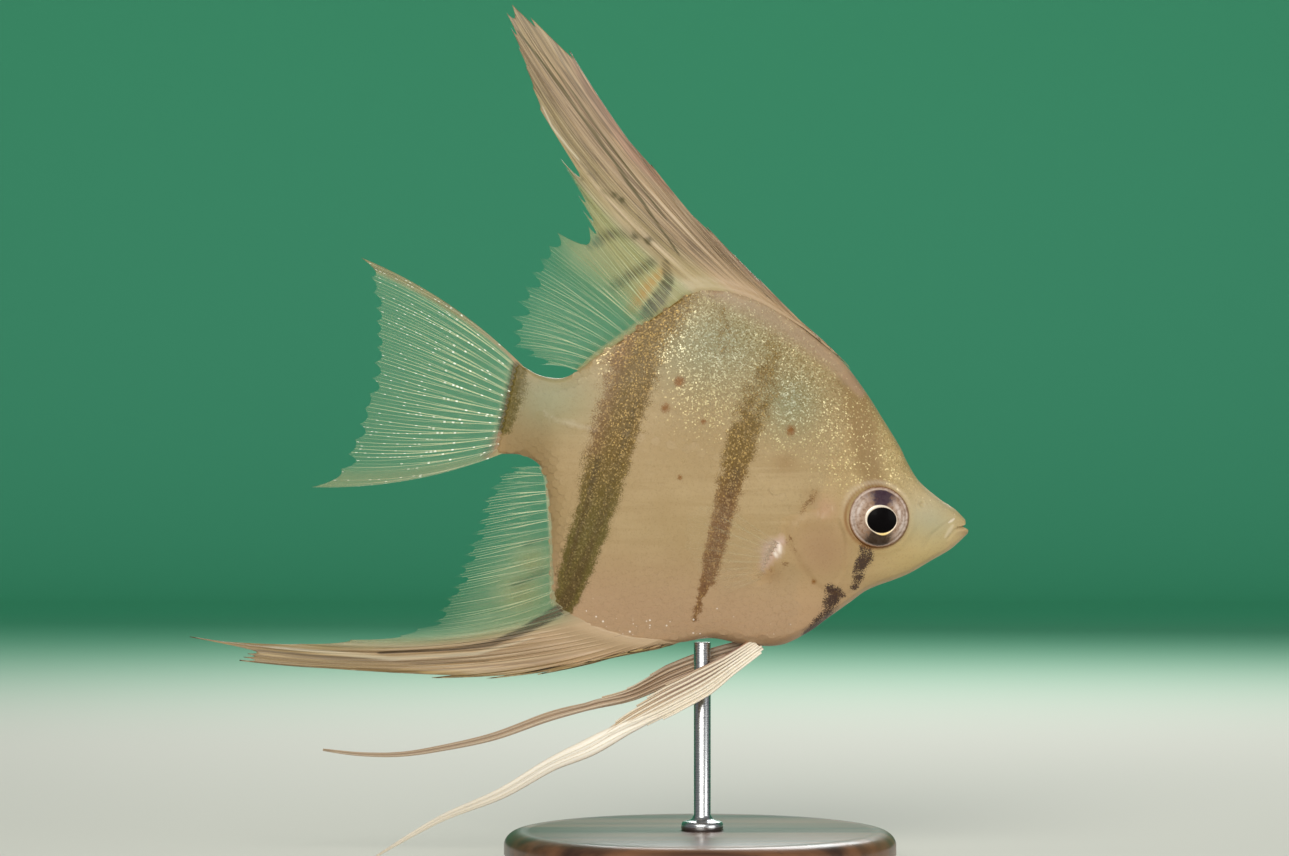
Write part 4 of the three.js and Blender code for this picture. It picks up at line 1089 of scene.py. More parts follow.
        return {
            "bar": bar,
            "olive": np.maximum(ease(62, 46, z) * ease(-2, -8, x), ease(-21, -24, x)),
            "russet": np.maximum(ease(60, 48, z) * ease(-6, -2, x), 0.55 * stroke(x, z, self.rust)),
            "ink": stroke(x, z, *self.inks) * lerp(1.0, 0.84, ease(44.0, 41.4, z) * ease(20.8, 21.2, x)),
            "face": 0.42 * ease(17, 34, x),
            # Painted shade on the gill cover; darker tone towards the tail root, on the nape and along the
            # dorsal fin's sheath.
            "deep": unit(0.6 * blots(x, z, (17.5, 45.0, 5.0)) + 0.7 * ease(-19, -23, x)
                         + np.maximum(0.88 * nape, 0.55 * sheath)),
            "gold": gold * (1 - 0.35 * nape) * (1 - 0.6 * sheath),
            "silver": unit(silver),
            "blush": np.maximum(0.8 * ease(48, 34, z + 0.1 * x), rosy),
            # Orange freckles and marks, together with the painted shade round the eye.
            "freckle": unit(orange + socket),
            "lilac": np.maximum(0.7 * lilac, 0.25 * sheath),
            "pale": unit(pale + brow + lateral),
            "fleck": np.maximum(fleck, 0.45 * strewn),
        }


@dataclass
class Skin:
    """One skin over head, jaw, gill covers, trunk and tail root."""

    body: Body
    markings: Markings
    depth: float = 0.12       # how far it lies inside the solids
    rows: int = 104           # faces from the lower to the upper outline
    outside: float = 30.0     # how far from the middle plane rays towards a flank start
    nodes: tuple[str, ...] = ("head", "lower_jaw", "gill_cover_right", "gill_cover_left",
                              "trunk", "tail_stalk")

    def __post_init__(self) -> None:
        """Lays out the stations and the rings."""
        head = np.linspace(0, 1, 46) ** 1.5
        face = np.linspace(1, 9, 150)[1:]
        trunk = np.linspace(9, self.body.last, 140)[1:]
        tail = self.body.last + np.linspace(0, 1, 9)[1:]
        self.at = np.concatenate([head, face, trunk, tail])
        side = (1 - np.cos(np.linspace(0, math.pi, self.rows + 1))) / 2
        self.share = np.concatenate([side, side[-2:0:-1]])
        self.sign = np.where(np.arange(len(self.share)) <= self.rows, -1.0, 1.0)

    def build(self, material: bpy.types.Material) -> bpy.types.Object:
        """Makes the skin and dresses it."""
        at, share = np.meshgrid(self.at, self.share, indexing="ij")
        x, z, half = self.body.section(at, share, -self.depth)
        rings = np.stack([x, self.sign * half, z], -1)
        nose = rings[0].mean(0) - np.array([0.5, 0, 0])
        points, faces = closed_tube(rings, np.array([nose, rings[-1].mean(0)]))
        skin = make_piece("skin", points, faces)
        paint(skin, self.markings.masks(*flat(points)))
        dress(skin, material, "skin", *self.nodes)
        self.tree = BVHTree.FromPolygons((points * MM).tolist(), faces)
        return skin

    def cast(self, x: float, z: float, side: Side) -> tuple | None:
        """Meets the skin from the side.

        Args:
            x: place in the side view.
            z: place in the side view.
            side: the flank.

        Returns:
            The place in millimetres, the normal, and the station and share there, or None.
        """
        start = Vector((x * MM, side.value * self.outside * MM, z * MM))
        place, normal, face, _ = self.tree.ray_cast(start, Vector((0, -side.value, 0)))
        if place is None:
            return None
        row, column = divmod(face, len(self.share))
        if row >= len(self.at):
            return None
        return place / MM, normal * math.copysign(1, normal.y * side.value), self.at[row], self.share[column]


@dataclass
class Scales:
    """Thin overlapping scales in slanting rows, a piece for each flank."""

    skin: Skin
    pitch: float = 1.12       # from a scale to the next one behind it
    row: float = 1.26         # from a row to the next
    length: float = 1.9
    width: float = 1.42
    thickness: float = 0.035
    dome: float = 0.016
    lift: float = 0.036       # radians that the free edge stands up
    slope: float = 0.25       # radians that the rows rise towards the tail
    patch: float = 0.003      # size of a scale on the unwrap
    sides: int = 12
    sharp: float = 0.6        # radians between faces that keep a sharp edge
    start: tuple[float, float] = (8.0, 55.0)   # where the rows are counted from
    uneven: tuple[float, float, float] = (0.035, 0.008, 0.03)   # spread of place, lift and size
    raised: float = 0.012     # how far a root stands off the skin
    columns: tuple[int, int] = (-30, 60)   # places tried along the rows
    lanes: tuple[int, int] = (-50, 50)     # the same across them
    bare_eye: float = 7.0     # skin left without scales round the middle of the eye
    bare_gill: float = 0.9    # the same along the edge of the gill cover
    bare_fin: float = 1.5     # the same round the root of the pectoral fin

    def template(self) -> bpy.types.Object:
        """One closed scale, with its free edge towards +X."""
        turn = np.linspace(0, 2 * math.pi, self.sides, endpoint=False)
        rim = np.stack([
            0.5 * self.length * np.cos(turn) + 0.22 * self.length,
            0.5 * self.width * np.sin(turn) * (1 + 0.16 * np.cos(turn)),
            0 * turn,
        ], -1)
        middle = np.array([[0.2 * self.length, 0, self.dome]])
        drop = np.array([0, 0, -self.thickness])
        points = np.concatenate([rim, rim + drop, middle, middle + drop - [0, 0, self.dome]])
        count = self.sides
        faces = []
        for k in range(count):
            after = (k + 1) % count
            faces += [[k, after, 2 * count], [after + count, k + count, 2 * count + 1],
                      [after, k, k + count, after + count]]
        scale = make_piece("scale_template", points, faces)
        store(scale.data, "leaf", points * (1, 1, 0) / self.length)
        return scale

    def roots(self, side: Side) -> bpy.types.Object:
        """The points that carry scales on one flank, with their turn, size and unwrap place."""
        rng = np.random.default_rng(SEED + side.value)
        back = Vector((-math.cos(self.slope), 0, math.sin(self.slope)))
        rise = Vector((math.sin(self.slope), 0, math.cos(self.slope)))
        left = 0.5 if side is Side.LEFT else 0.0
        found, turns, sizes, maps = [], [], [], []
        for i, j in product(range(*self.columns), range(*self.lanes)):
            wobble = rng.normal(0, self.uneven[0], 2)
            along = (i + wobble[0]) * self.pitch
            across = (j + 0.5 * (i % 2) + wobble[1]) * self.row
            spot = Vector((self.start[0], 0, self.start[1])) + back * along + rise * across
            hit = self.skin.cast(spot.x, spot.z, side)
            if hit is None or not self.covered(spot.x, spot.z, *hit[2:]):
                continue
            place, normal, at, share = hit
            run = (back - normal * back.dot(normal)).normalized()
            turn = Matrix((run, normal.cross(run), normal)).transposed()
            turn = turn @ Matrix.Rotation(-self.lift + rng.normal(0, self.uneven[1]), 3, "Y")
            found.append(place + normal * self.raised)
            turns.append(tuple(turn.to_euler()))
            sizes.append(self.size(share) * rng.normal(1, self.uneven[2]))
            maps.append((left + 0.49 * at / (self.skin.body.last + 1), 0.01 + 0.98 * share, 0))
        name = f"scale_roots_{side.word}"
        mesh = bpy.data.meshes.new(name)
        mesh.from_pydata((np.array(found) * MM).tolist(), [], [])
        for key, values in (("turn", turns), ("root_map", maps), ("size", sizes)):
            store(mesh, key, np.array(values))
        return add_object(name, mesh)

    @staticmethod
    def size(share: float) -> float:
        """Scales are smaller towards the back and the belly."""
        return 0.72 + 0.28 * min(1.0, 5 * share * (1 - share))

    def covered(self, x: float, z: float, at: float, share: float) -> bool:
        """Whether a place is scaled: not the face, the gill covers or the fin roots."""
        place = (np.array([x]), np.array([z]))
        gill = inside(*place, GILL_COVER)[0] or line_distance(*place, GILL_MARGIN)[0] < self.bare_gill
        eye = math.hypot(x - self.skin.body.eye[0], z - self.skin.body.eye[1])
        brow = x > lerp(14.0, 21.0, unit((z - 42) / 22))
        fin = line_distance(*place, FIN_SOCKET)[0] < self.bare_fin
        return not (gill or brow or fin or eye < self.bare_eye or at > self.skin.body.last - 0.5
                    or not 0.012 < share < (0.985 if at < 19 else 0.93))

    @staticmethod
    def tree(material: bpy.types.Material) -> bpy.types.NodeTree:
        """Geometry Nodes that set a scale on each point, and keep its place on the unwrap."""
        tree = bpy.data.node_groups.new("scale_rows", "GeometryNodeTree")
        for name, way, kind in (("Geometry", "INPUT", "Geometry"), ("Scale shape", "INPUT", "Object"),
                                ("Patch size", "INPUT", "Float"), ("Geometry", "OUTPUT", "Geometry")):
            tree.interface.new_socket(name, in_out=way, socket_type=f"NodeSocket{kind}")

        def named(name: str, kind: str = "FLOAT_VECTOR") -> bpy.types.NodeSocket:
            """An attribute of the geometry."""
            inputs = {"Name": name}
            return add_node(tree, "GeometryNodeInputNamedAttribute", inputs, data_type=kind)["Attribute"]

        given = add_node(tree, "NodeGroupInput", {})
        shape = add_node(tree, "GeometryNodeObjectInfo", {"Object": given["Scale shape"]})["Geometry"]
        turned = add_node(tree, "FunctionNodeEulerToRotation", {0: named("turn")})[0]
        copies = add_node(tree, "GeometryNodeInstanceOnPoints", {
            "Points": given["Geometry"], "Instance": shape, "Rotation": turned,
            "Scale": named("size", "FLOAT"),
        })[0]
        solid = add_node(tree, "GeometryNodeRealizeInstances", {0: copies})[0]
        leaf = {0: named("leaf"), "Scale": given["Patch size"]}
        leaf = add_node(tree, "ShaderNodeVectorMath", leaf, operation="SCALE")[0]
        spot = {0: named("root_map"), 1: leaf}
        spot = add_node(tree, "ShaderNodeVectorMath", spot, operation="ADD")[0]
        mapped = {"Name": "OFBake", "Geometry": solid, "Value": spot}
        mapped = add_node(
            tree, "GeometryNodeStoreNamedAttribute", mapped, data_type="FLOAT2", domain="CORNER")[0]
        dressed = {"Geometry": mapped, "Material": material}
        dressed = add_node(tree, "GeometryNodeSetMaterial", dressed)[0]
        add_node(tree, "NodeGroupOutput", {0: dressed})
        return tree

    def build(self, material: bpy.types.Material) -> None:
        """Makes the two coats of scales."""
        template = self.template()
        tree = self.tree(material)
        socket = {item.name: item.identifier for item in tree.interface.items_tree}
        for side in Side:
            carrier = self.roots(side)
            rows = carrier.modifiers.new("scales", "NODES")
            rows.node_group = tree
            rows[socket["Scale shape"]] = template
            rows[socket["Patch size"]] = self.patch
            graph = bpy.context.evaluated_depsgraph_get()
            mesh = bpy.data.meshes.new_from_object(
                carrier.evaluated_get(graph), preserve_all_data_layers=True, depsgraph=graph)
            bpy.data.objects.remove(carrier)
            for key in ("turn", "size", "root_map", "leaf"):
                if key in mesh.attributes:
                    mesh.attributes.remove(mesh.attributes[key])
            mesh.shade_smooth()
            mesh.set_sharp_from_angle(angle=self.sharp)
            coat = add_object(f"scales_{side.word}", mesh)
            paint(coat, self.skin.markings.masks(*flat(places(mesh))))
            dress(coat, material, "skin")
        bpy.data.objects.remove(template)


# ---------------------------------------------------------------------------
# Fins
# ---------------------------------------------------------------------------

SUB_COLUMNS = np.array([0, 0.06, 0.13, 0.22, 0.35, 0.5, 0.65, 0.78, 0.87, 0.94])
MEMBRANE = 0.1            # half thickness of the web
RAY_THICK = 0.34          # half thickness of a ray at its root
RAY_THIN = 0.12
ROOT_DEPTH = 1.6          # how far a fin root is sunk in the flesh


def columns_of(rays: int) -> Array:
    """Column numbers over a fan of rays, where a whole number is a ray."""
    spread = (np.arange(rays - 1)[:, None] + SUB_COLUMNS[None, :]).ravel()
    return np.append(spread, rays - 1)


def ridge(column: Array) -> Array:
    """1 on a ray, falling to 0 on the web."""
    return bell(np.abs(column - np.round(column)), 0.11)


def finish_fin(piece: bpy.types.Object, shape: tuple[int, int], values: Masks) -> None:
    """Stores the masks of a fin on both of its faces."""
    paint(piece, {k: np.tile(np.broadcast_to(v, shape).ravel(), 2) for k, v in values.items()})


@dataclass
class MedianFin:
    """A fin in the middle plane, between its rays' roots and tips."""

    name: str
    roots: Array
    tips: Array
    bows: Array
    spines: int = 0
    rows: int = 56
    web: tuple[float, float] = (0.3, 1.5)   # how far the webs fall short of the tips
    barb: tuple[float, float] = (0.5, 1.3)   # the same behind a spine
    splits: dict[int, float] = field(default_factory=dict)
    pleat: float = 0.0                       # sideways step between two rays
    base_swell: float = 0.3
    swell_run: float = 1.5

    def sway(self, across: Array, out: Array) -> Array:
        """The sideways lie of the fin."""
        raise NotImplementedError

    def colours(self, x: Array, z: Array, column: Array, out: Array) -> Masks:
        """The masks of the fin's pattern."""
        raise NotImplementedError

    def build(self, material: bpy.types.Material) -> bpy.types.Object:
        """Makes the fin and dresses it."""
        rng = np.random.default_rng(SEED + len(self.name))
        count = len(self.roots)
        column = columns_of(count)
        index = np.arange(count)
        root, tip = between(self.roots, index, column), between(self.tips, index, column)
        run = tip - root
        length = np.hypot(run[:, 0], run[:, 1])
        shortfall = rng.uniform(*self.web, count)
        shortfall[:self.spines] = rng.uniform(*self.barb, self.spines)
        for ray, depth in self.splits.items():
            shortfall[ray] = depth
        low = np.clip(np.floor(column).astype(int), 0, count - 1)
        part = column - low
        notch = np.where(low < self.spines, (1 - part) * (part > 0), np.sin(math.pi * part) ** 0.8)
        back = shortfall[low] * notch / length
        step = np.linspace(0, 1, self.rows + 1)
        share = lerp((-ROOT_DEPTH / length)[:, None], (1 - np.minimum(back, 0.5))[:, None], step[None, :])
        bend = 4 * np.interp(column, index, self.bows)[:, None] * share * (1 - share)
        x = root[:, :1] + run[:, :1] * share - run[:, 1:] * bend
        z = root[:, 1:] + run[:, 1:] * share + run[:, :1] * bend
        out = unit(share)
        column, length = column[:, None], length[:, None]
        pleats = self.pleat * np.cos(math.pi * column) * out * (1 - 0.5 * out)
        y = self.sway(column / (count - 1), out) + pleats
        distance = np.maximum(share * length, 0)
        height = ridge(column) * (lerp(RAY_THICK, RAY_THIN, out**1.2) - MEMBRANE)
        swell = self.base_swell * bell(distance, self.swell_run) * unit(length / 16)
        grown = ease(0, np.clip(length / 2.5, 2, 12), distance)
        halves = MEMBRANE * lerp(1.0, 0.6, out) + height * grown + swell
        halves *= np.clip(length / 5, 0.35, 1)
        piece = make_piece(self.name, *sheet(np.stack([x, y, z], -1), halves))
        near = np.minimum(low + 1, count - 1)
        gap, far = (np.hypot(*(ends[near] - ends[low]).T)[:, None] for ends in (self.roots, self.tips))
        finish_fin(piece, share.shape, {
            "column": column, "reach": out, "run": distance, "spacing": lerp(gap, far, out),
            "soft": column >= self.spines, **self.colours(x, z, column, out),
        })
        dress(piece, material, "fin", self.name)
        return piece


def roots_along(body: Body, name: str, start: float, end: float, count: int) -> Array:
    """Evenly spaced places along an outline of the body."""
    points = np.stack(body.outline(name, np.linspace(start, end, 400)), -1)
    length = arc_length(points)
    return between(points, length, np.linspace(0, length[-1], count))


def edge_tips(edge: Line, count: int, reach: float, crowding: float) -> Array:
    """Spine tips along a leading edge, closer together at its foot."""
    points = curved(np.array(edge), 300)
    length = arc_length(points)
    return between(points, length, length[-1] * reach * ((np.arange(count) + 0.7) / count) ** crowding)


DORSAL_SPINES, DORSAL_SOFT = 13, 24
DORSAL_EDGE: Line = ((20.4, 72.3), (9.0, 82.6), (-0.6, 92.1), (-8.8, 101.4), (-20.5, 117.6),
                     (-26.9, 123.0))
DORSAL_JUTS = (0, 0, 0, 0, 0.4, 0.4, 0.5, 0, 0.6, 0, 0, 0.7, 0)   # how far spine tips stand out
DORSAL_REAR: Rows = ((0, -26.9, 123.0), (1, -27.7, 121.9), (2, -27.0, 119.6), (4, -24.9, 114.1),
                     (6, -22.9, 108.1), (7, -19.9, 100.9), (9, -18.1, 97.9), (12, -16.0, 91.3),
                     (13, -20.4, 90.4), (16, -24.2, 84.8), (19, -27.1, 78.4), (21, -26.7, 74.1),
                     (24, -20.6, 70.2))
DORSAL_BOWS: Rows = ((0, 0), (10, 0.03), (16, 0.05), (22, 0.03), (28, -0.02), (36, -0.05))
DORSAL_SPLITS = (1.6, 2.2, 1.4, 1.0, 0.8, 0.8, 7.0, 2.6, 3.4, 2.4, 3.2, 2.6, 3.0)   # behind soft rays
DORSAL_ARCS: tuple[tuple[float, Line], ...] = (
    (1.5, ((-15.6, 88.6), (-13.9, 89.7), (-11.7, 90.4), (-9.4, 90.0), (-7.2, 89.2))),
    (1.5, ((-12.2, 82.7), (-10.1, 84.2), (-7.9, 85.4), (-6.6, 86.4))),
    (0.9, ((-13.8, 96.2), (-12.2, 95.7), (-10.7, 94.4))),
    (0.45, ((-17.0, 97.8), (-16.3, 98.6), (-15.0, 99.0))),
)
DORSAL_SEAM: Rows = ((-26.0, 119.2, 0.3), (-19.9, 111.3, 0.5), (-17.2, 107.4, 0.4), (-15.0, 104.4, 0.7),
                     (-12.3, 100.6, 0.5), (-10.1, 97.3, 0.7), (-7.6, 93.8, 0.5), (-3.0, 87.2, 0.3))
DORSAL_RIFT: Rows = ((-23.4, 117.2, 0.2), (-17.6, 109.6, 0.4), (-13.2, 103.4, 0.3), (-8.6, 97.2, 0.5),
                     (-4.8, 92.2, 0.3))
ANAL_SPINES, ANAL_SOFT = 6, 25
ANAL_EDGE: Line = ((-3.4, 31.5), (-9.3, 30.6), (-17.4, 29.3), (-22.5, 28.0), (-31.0, 27.3),
                   (-40.3, 27.4), (-51.4, 28.1), (-65.7, 29.3))
ANAL_JUTS = (0, 0, 0.5, 0.6, 0.6, 0.5)
ANAL_REAR: Rows = ((0, -65.7, 29.3), (2, -64.6, 30.2), (3, -72.9, 32.6), (5, -70.0, 32.0),
                   (6, -57.1, 31.5), (8, -42.9, 32.7), (10, -38.1, 34.7), (13, -35.6, 39.6),
                   (17, -33.4, 45.6), (21, -31.2, 52.0), (23, -29.0, 55.6), (25, -24.9, 57.8))
ANAL_BOWS: Rows = ((0, 0.01), (6, 0.045), (14, 0.05), (19, 0.01), (30, -0.02))
CAUDAL_RAYS = 16
CAUDAL_REAR: Rows = ((0, -48.3, 86.7), (1, -46.9, 84.0), (3, -46.2, 79.6), (6, -46.1, 74.0),
                     (9, -47.1, 67.4), (12, -49.2, 60.8), (14, -51.2, 56.6), (15, -55.3, 54.0))


class DorsalFin(MedianFin):
    """A tall swept blade with a low clear fan behind it."""

    @classmethod
    def of(cls, body: Body) -> DorsalFin:
        """The dorsal fin that grows from a body."""
        count = DORSAL_SPINES + DORSAL_SOFT
        spines = edge_tips(DORSAL_EDGE, DORSAL_SPINES, 0.985, 1.4) + np.outer(DORSAL_JUTS, (0.73, 0.68))
        soft = np.stack(keyed(DORSAL_REAR, np.arange(DORSAL_SOFT)), -1)
        return cls(
            "dorsal_fin", roots_along(body, "upper", 8, 21.2, count), np.concatenate([spines, soft]),
            keyed(DORSAL_BOWS, np.arange(count))[0],
            spines=DORSAL_SPINES, pleat=0.14, rows=84, barb=(1.3, 2.4), web=(0.8, 2.4), base_swell=0.4,
            splits={DORSAL_SPINES + k: deep for k, deep in enumerate(DORSAL_SPLITS)},
        )

    def sway(self, across: Array, out: Array) -> Array:
        """The tips lean to the left side."""
        return 0.9 * out * out + 0 * across

    def colours(self, x: Array, z: Array, column: Array, out: Array) -> Masks:
        """Clouded blade, yellow-green and olive arcs behind it, clear fan."""
        soft = column - self.spines
        blade = ease(8, 6, soft)
        behind = 1 - blade
        arcs = most(*(bell(line_distance(x, z, arc), width) for width, arc in DORSAL_ARCS))
        spots = blots(x, z, (-7.4, 89.2, 0.7), (-9.3, 89.8, 0.7), (-11.2, 95.0, 0.6), (-12.3, 95.7, 0.6))
        root = stroke(x, z, ((-5.0, 86.0, 1.4), (-4.4, 83.6, 2.0), (-5.8, 81.0, 3.0), (-7.6, 78.8, 2.4)))
        leaf = ease(4.6, 7, soft) * ease(19, 12, soft) * ease(0.1, 0.3, out)
        amber = bell(line_distance(x, z, ((-5.2, 84.9), (-6.9, 83.2), (-8.8, 80.6), (-10.2, 79.0))), 1.0)
        lead = ease(-3.5, -9.5, soft) * ease(0.3, 0.6, out)
        crest = stroke(x, z, ((-19.5, 117.2, 0.8), (-14.5, 109.5, 2.0), (-9.5, 101.5, 1.6),
                              (-4.0, 96.0, 0.8)))
        edge = stroke(x, z, ((-22.6, 108.6, 0.15), (-21.2, 105.6, 0.25), (-18.9, 102.6, 0.25),
                             (-17.2, 100.6, 0.15)))
        frayed = lerp(1.0, 0.35, ease(0.7, 1.0, out)) * lerp(0.8, 0.07, ease(10.5, 15, soft))
        return {
            "dense": blade + 0.5 * ease(0.1, 0.0, out) * behind,
            "stain": most(0.44 * arcs, 0.95 * spots, 0.55 * root, 0.8 * stroke(x, z, DORSAL_SEAM),
                          0.6 * stroke(x, z, DORSAL_RIFT)),
            "leaf": most(0.85 * leaf * behind, 0.5 * blade * ease(1.5, 4, soft),
                         0.3 * ease(108, 120, z) * blade, 0.9 * ease(0.2, 0.05, out) * behind),
            "amber": 0.7 * amber * (1 - blade * 0.5),
            "blush": np.maximum(0.35 * lead, 0.5 * crest),
            "pale": np.maximum(0.4 * edge, 0.05 * ease(116, 122, z)),
            "veil": np.maximum(lerp(frayed, 1.0, blade), 0.6 * ease(0.07, 0.0, out)),
        }


class AnalFin(MedianFin):
    """A clear fan whose first rays run out to a forked thread."""

    @classmethod
    def of(cls, body: Body) -> AnalFin:
        """The anal fin that grows from a body."""
        count = ANAL_SPINES + ANAL_SOFT
        spines = edge_tips(ANAL_EDGE, ANAL_SPINES, 0.6, 1.3) + np.outer(ANAL_JUTS, (-0.05, -1.0))
        soft = np.stack(keyed(ANAL_REAR, np.arange(ANAL_SOFT)), -1)
        return cls(
            "anal_fin", roots_along(body, "lower", 13.1, 21.7, count), np.concatenate([spines, soft]),
            keyed(ANAL_BOWS, np.arange(count))[0],
            spines=ANAL_SPINES, splits={ANAL_SPINES + 2: 4.5}, pleat=0.08, rows=84, barb=(5.0, 8.0),
            web=(0.8, 2.4), base_swell=0.75, swell_run=3.4,
        )

    def sway(self, across: Array, out: Array) -> Array:
        """The two threads stand apart."""
        return 1.2 * np.tanh(12 * (across - 0.28)) * out**3

    def colours(self, x: Array, z: Array, column: Array, out: Array) -> Masks:
        """Tan thread with dark lines, and a clear fan with green-olive patches."""
        soft = column - self.spines
        blade = ease(9, 4.5, soft)
        behind = 1 - blade
        near = ease(0.05, 0.0, out)
        dark = stroke(x, z, ((-20.4, 36.2, 1.8), (-24.5, 33.8, 1.4), (-29.5, 31.7, 0.9), (-35.2, 30.8, 0.5),
                             (-46.0, 30.3, 0.4)))
        low = stroke(x, z, ((-30.0, 29.2, 0.5), (-40.0, 28.9, 0.7), (-52.0, 29.6, 0.6), (-64.0, 30.8, 0.4)))
        patch = np.maximum(bell(line_distance(x, z, ((-22.0, 46.9), (-24.8, 45.7))), 1.1),
                           bell(line_distance(x, z, ((-22.4, 42.0), (-26.4, 40.0))), 1.4))
        glow = blots(x, z, (-24.0, 43.0, 3.6), (-25.5, 39.0, 4.6))
        cream = stroke(x, z, ((-24.0, 32.4, 0.3), (-32.0, 30.2, 0.5), (-44.0, 29.5, 0.6), (-62.0, 31.2, 0.3)))
        cloudy = lerp(0.05, 0.24, ease(20, 7, soft)) * lerp(1.0, 0.15, ease(0.3, 1.0, out))
        return {
            "dense": blade + 0.4 * near * behind,
            "stain": most(0.8 * dark, 0.5 * low, 0.36 * patch * behind),
            "leaf": np.maximum(0.75 * glow * behind, 0.5 * blade * ease(0.45, 0.8, out)),
            "amber": 0.22 * blade * ease(0.2, 0.4, out),
            "blush": 0.12 * blade * ease(0.5, 0.1, out),
            "pale": np.maximum(0.32 * cream, 0.08 * ease(0.3, 0.0, out)) * blade,
            "veil": most(lerp(cloudy, 0.97, blade), 0.5 * near, 0.42 * glow),
        }


class CaudalFin(MedianFin):
    """A clear fan with bright rays between two firm edges."""

    @classmethod
    def of(cls, body: Body) -> CaudalFin:
        """The tail fin that grows from a body."""
        share = np.linspace(0, 1, CAUDAL_RAYS)[:, None]
        end = STATIONS[body.last]
        return cls(
            "caudal_fin", lerp(np.array(end.upper), np.array(end.lower), share),
            np.stack(keyed(CAUDAL_REAR, np.arange(CAUDAL_RAYS)), -1),
            0.05 * (2 * share[:, 0] - 1), rows=72, web=(0.5, 1.6), base_swell=0.2,
        )

    def sway(self, across: Array, out: Array) -> Array:
        """The rear edge swings to the right side."""
        return -1.6 * out * out + 0 * across

    def colours(self, x: Array, z: Array, column: Array, out: Array) -> Masks:
        """Clear, with clouded edges, a dark bar over the ray roots and a reddish foot below."""
        upper = ease(0.85, 0.3, column)
        lower = ease(CAUDAL_RAYS - 2.4, CAUDAL_RAYS - 1.4, column)
        near = ease(0.1, 0.0, out)
        bar = stroke(x, z, ((-26.2, 71.2, 1.8), (-26.4, 68.2, 2.9), (-27.0, 65.7, 2.8), (-28.2, 62.6, 1.8)))
        foot = stroke(x, z, ((-28.4, 61.8, 0.8), (-29.4, 60.2, 2.0), (-30.6, 58.6, 1.4)))
        return {
            "dense": unit(0.6 * upper + 0.25 * lower + 0.6 * near),
            "stain": 0.7 * bar,
            "leaf": unit(0.3 * lower + 0.4 * near + 0.6 * upper * ease(0.2, 0.5, out)),
            "amber": 0.05 * upper,
            "blush": unit(0.8 * foot + 0.3 * upper * ease(0.3, 0.0, out)),
            "veil": unit(0.07 + 0.5 * upper + 0.2 * lower + 0.6 * near),
        }


@dataclass
class PelvicFin:
    """A long blade of overlapping rays that thins to a thread, on a path from the belly."""

    side: Side
    path: tuple[tuple[float, float, float], ...]
    span: Rows
    lanes: Rows               # for each ray: place from lower to upper edge, where it ends, cream
    heart: float              # lane that the thread grows from
    purple: float             # strength of the dark streaks
    parting: float = 2.2      # how the lanes of the thread spread over it
    aside: float = 1.25
    station: float = 10.7
    rows: int = 170

    @property
    def name(self) -> str:
        """The fin's name, which is also its node's."""
        return f"pelvic_fin_{self.side.word}"

    def guide(self, body: Body) -> tuple[Array, Array]:
        """The fin's middle line as fine points, and the length along it."""
        root_x, root_z = body.outline("lower", np.array([self.station]))
        side = self.side.value
        nodes = np.array(self.path) * (1, side, 1) + (root_x[0], side * self.aside, root_z[0])
        curve = curved(nodes, 900)
        return curve, arc_length(curve)

    def build(self, body: Body, material: bpy.types.Material) -> bpy.types.Object:
        """Makes the fin and dresses it."""
        curve, length = self.guide(body)
        across = np.linspace(-1, 1, 7)[:, None]
        parts, faces, masks, count = [], [], [], 0
        for k, (lane, end, cream) in enumerate(self.lanes):
            share = end * np.linspace(-0.012, 1, self.rows + 1)
            middle = between(curve, length, share * length[-1])
            middle += np.minimum(share, 0)[:, None] * (curve[8] - curve[0]) / (length[8] / length[-1])
            along = np.gradient(middle, axis=0)
            up = np.stack([along[:, 2], 0 * share, -along[:, 0]], -1)
            up /= np.linalg.norm(up, axis=1, keepdims=True)
            lower, upper = keyed(self.span, np.maximum(share, 0))
            settle = ease(0.26, 0.5, share) * (end == 1)
            settled = 0.5 + (lane - self.heart) * self.parting
            place = lerp(-lower, upper, lerp(lane, settled, settle))
            wide = (lower + upper) * lerp(0.62 / len(self.lanes), 0.3, settle)
            taper = np.sqrt(np.clip(1 - (np.maximum(share, 0) / end) ** (2.2 if end < 1 else 30), 0.0004, 1))
            wide = np.maximum(wide * taper, 0.03)
            points = middle[None] + up[None] * (place + across * wide)[..., None]
            points[..., 1] += self.side.value * (0.11 * (-1) ** k - 0.1 * across**2) * (1 - 0.8 * share)
            reach = np.broadcast_to(unit(share), (len(across), self.rows + 1))
            halves = lerp(0.16, 0.07, reach) * (1.15 - 0.75 * across**2)
            skin, quads = sheet(points, halves)
            parts.append(skin)
            faces.append(quads + count)
            count += len(skin)
            low = 0 * reach
            brown = 1 - cream
            edge = bell(np.abs(across) - 0.85, 0.3) * ease(0.75, 0.45, reach)
            streaks = self.purple * brown * ease(0.45, 0.15, reach) * ease(0.0, 0.05, reach)
            masks.append({
                "column": k + 0.46 * across + low, "reach": reach, "run": reach * length[-1],
                "spacing": 2 * wide[None] + low, "soft": low, "dense": low + 0.3 + 0.7 * brown,
                "stain": unit(streaks + 0.3 * edge),
                "leaf": 0.2 * ease(0.4, 0.6, reach),
                "amber": (1.1 - 0.6 * self.purple) * brown * ease(0.0, 0.2, reach),
                "blush": 0.3 * brown * ease(0.3, 0.05, reach),
                "pale": 0.92 * cream * (1 - 0.5 * edge) * lerp(1.0, 0.6, ease(0.4, 0.8, reach)),
                "veil": lerp(1.0, 0.8, ease(0.3, 0.9, reach)),
            })
        piece = make_piece(self.name, np.concatenate(parts), np.concatenate(faces))
        paint(piece, {
            key: np.concatenate([np.tile(values[key].ravel(), 2) for values in masks]) for key in masks[0]
        })
        dress(piece, material, "pelvic", self.name)
        return piece


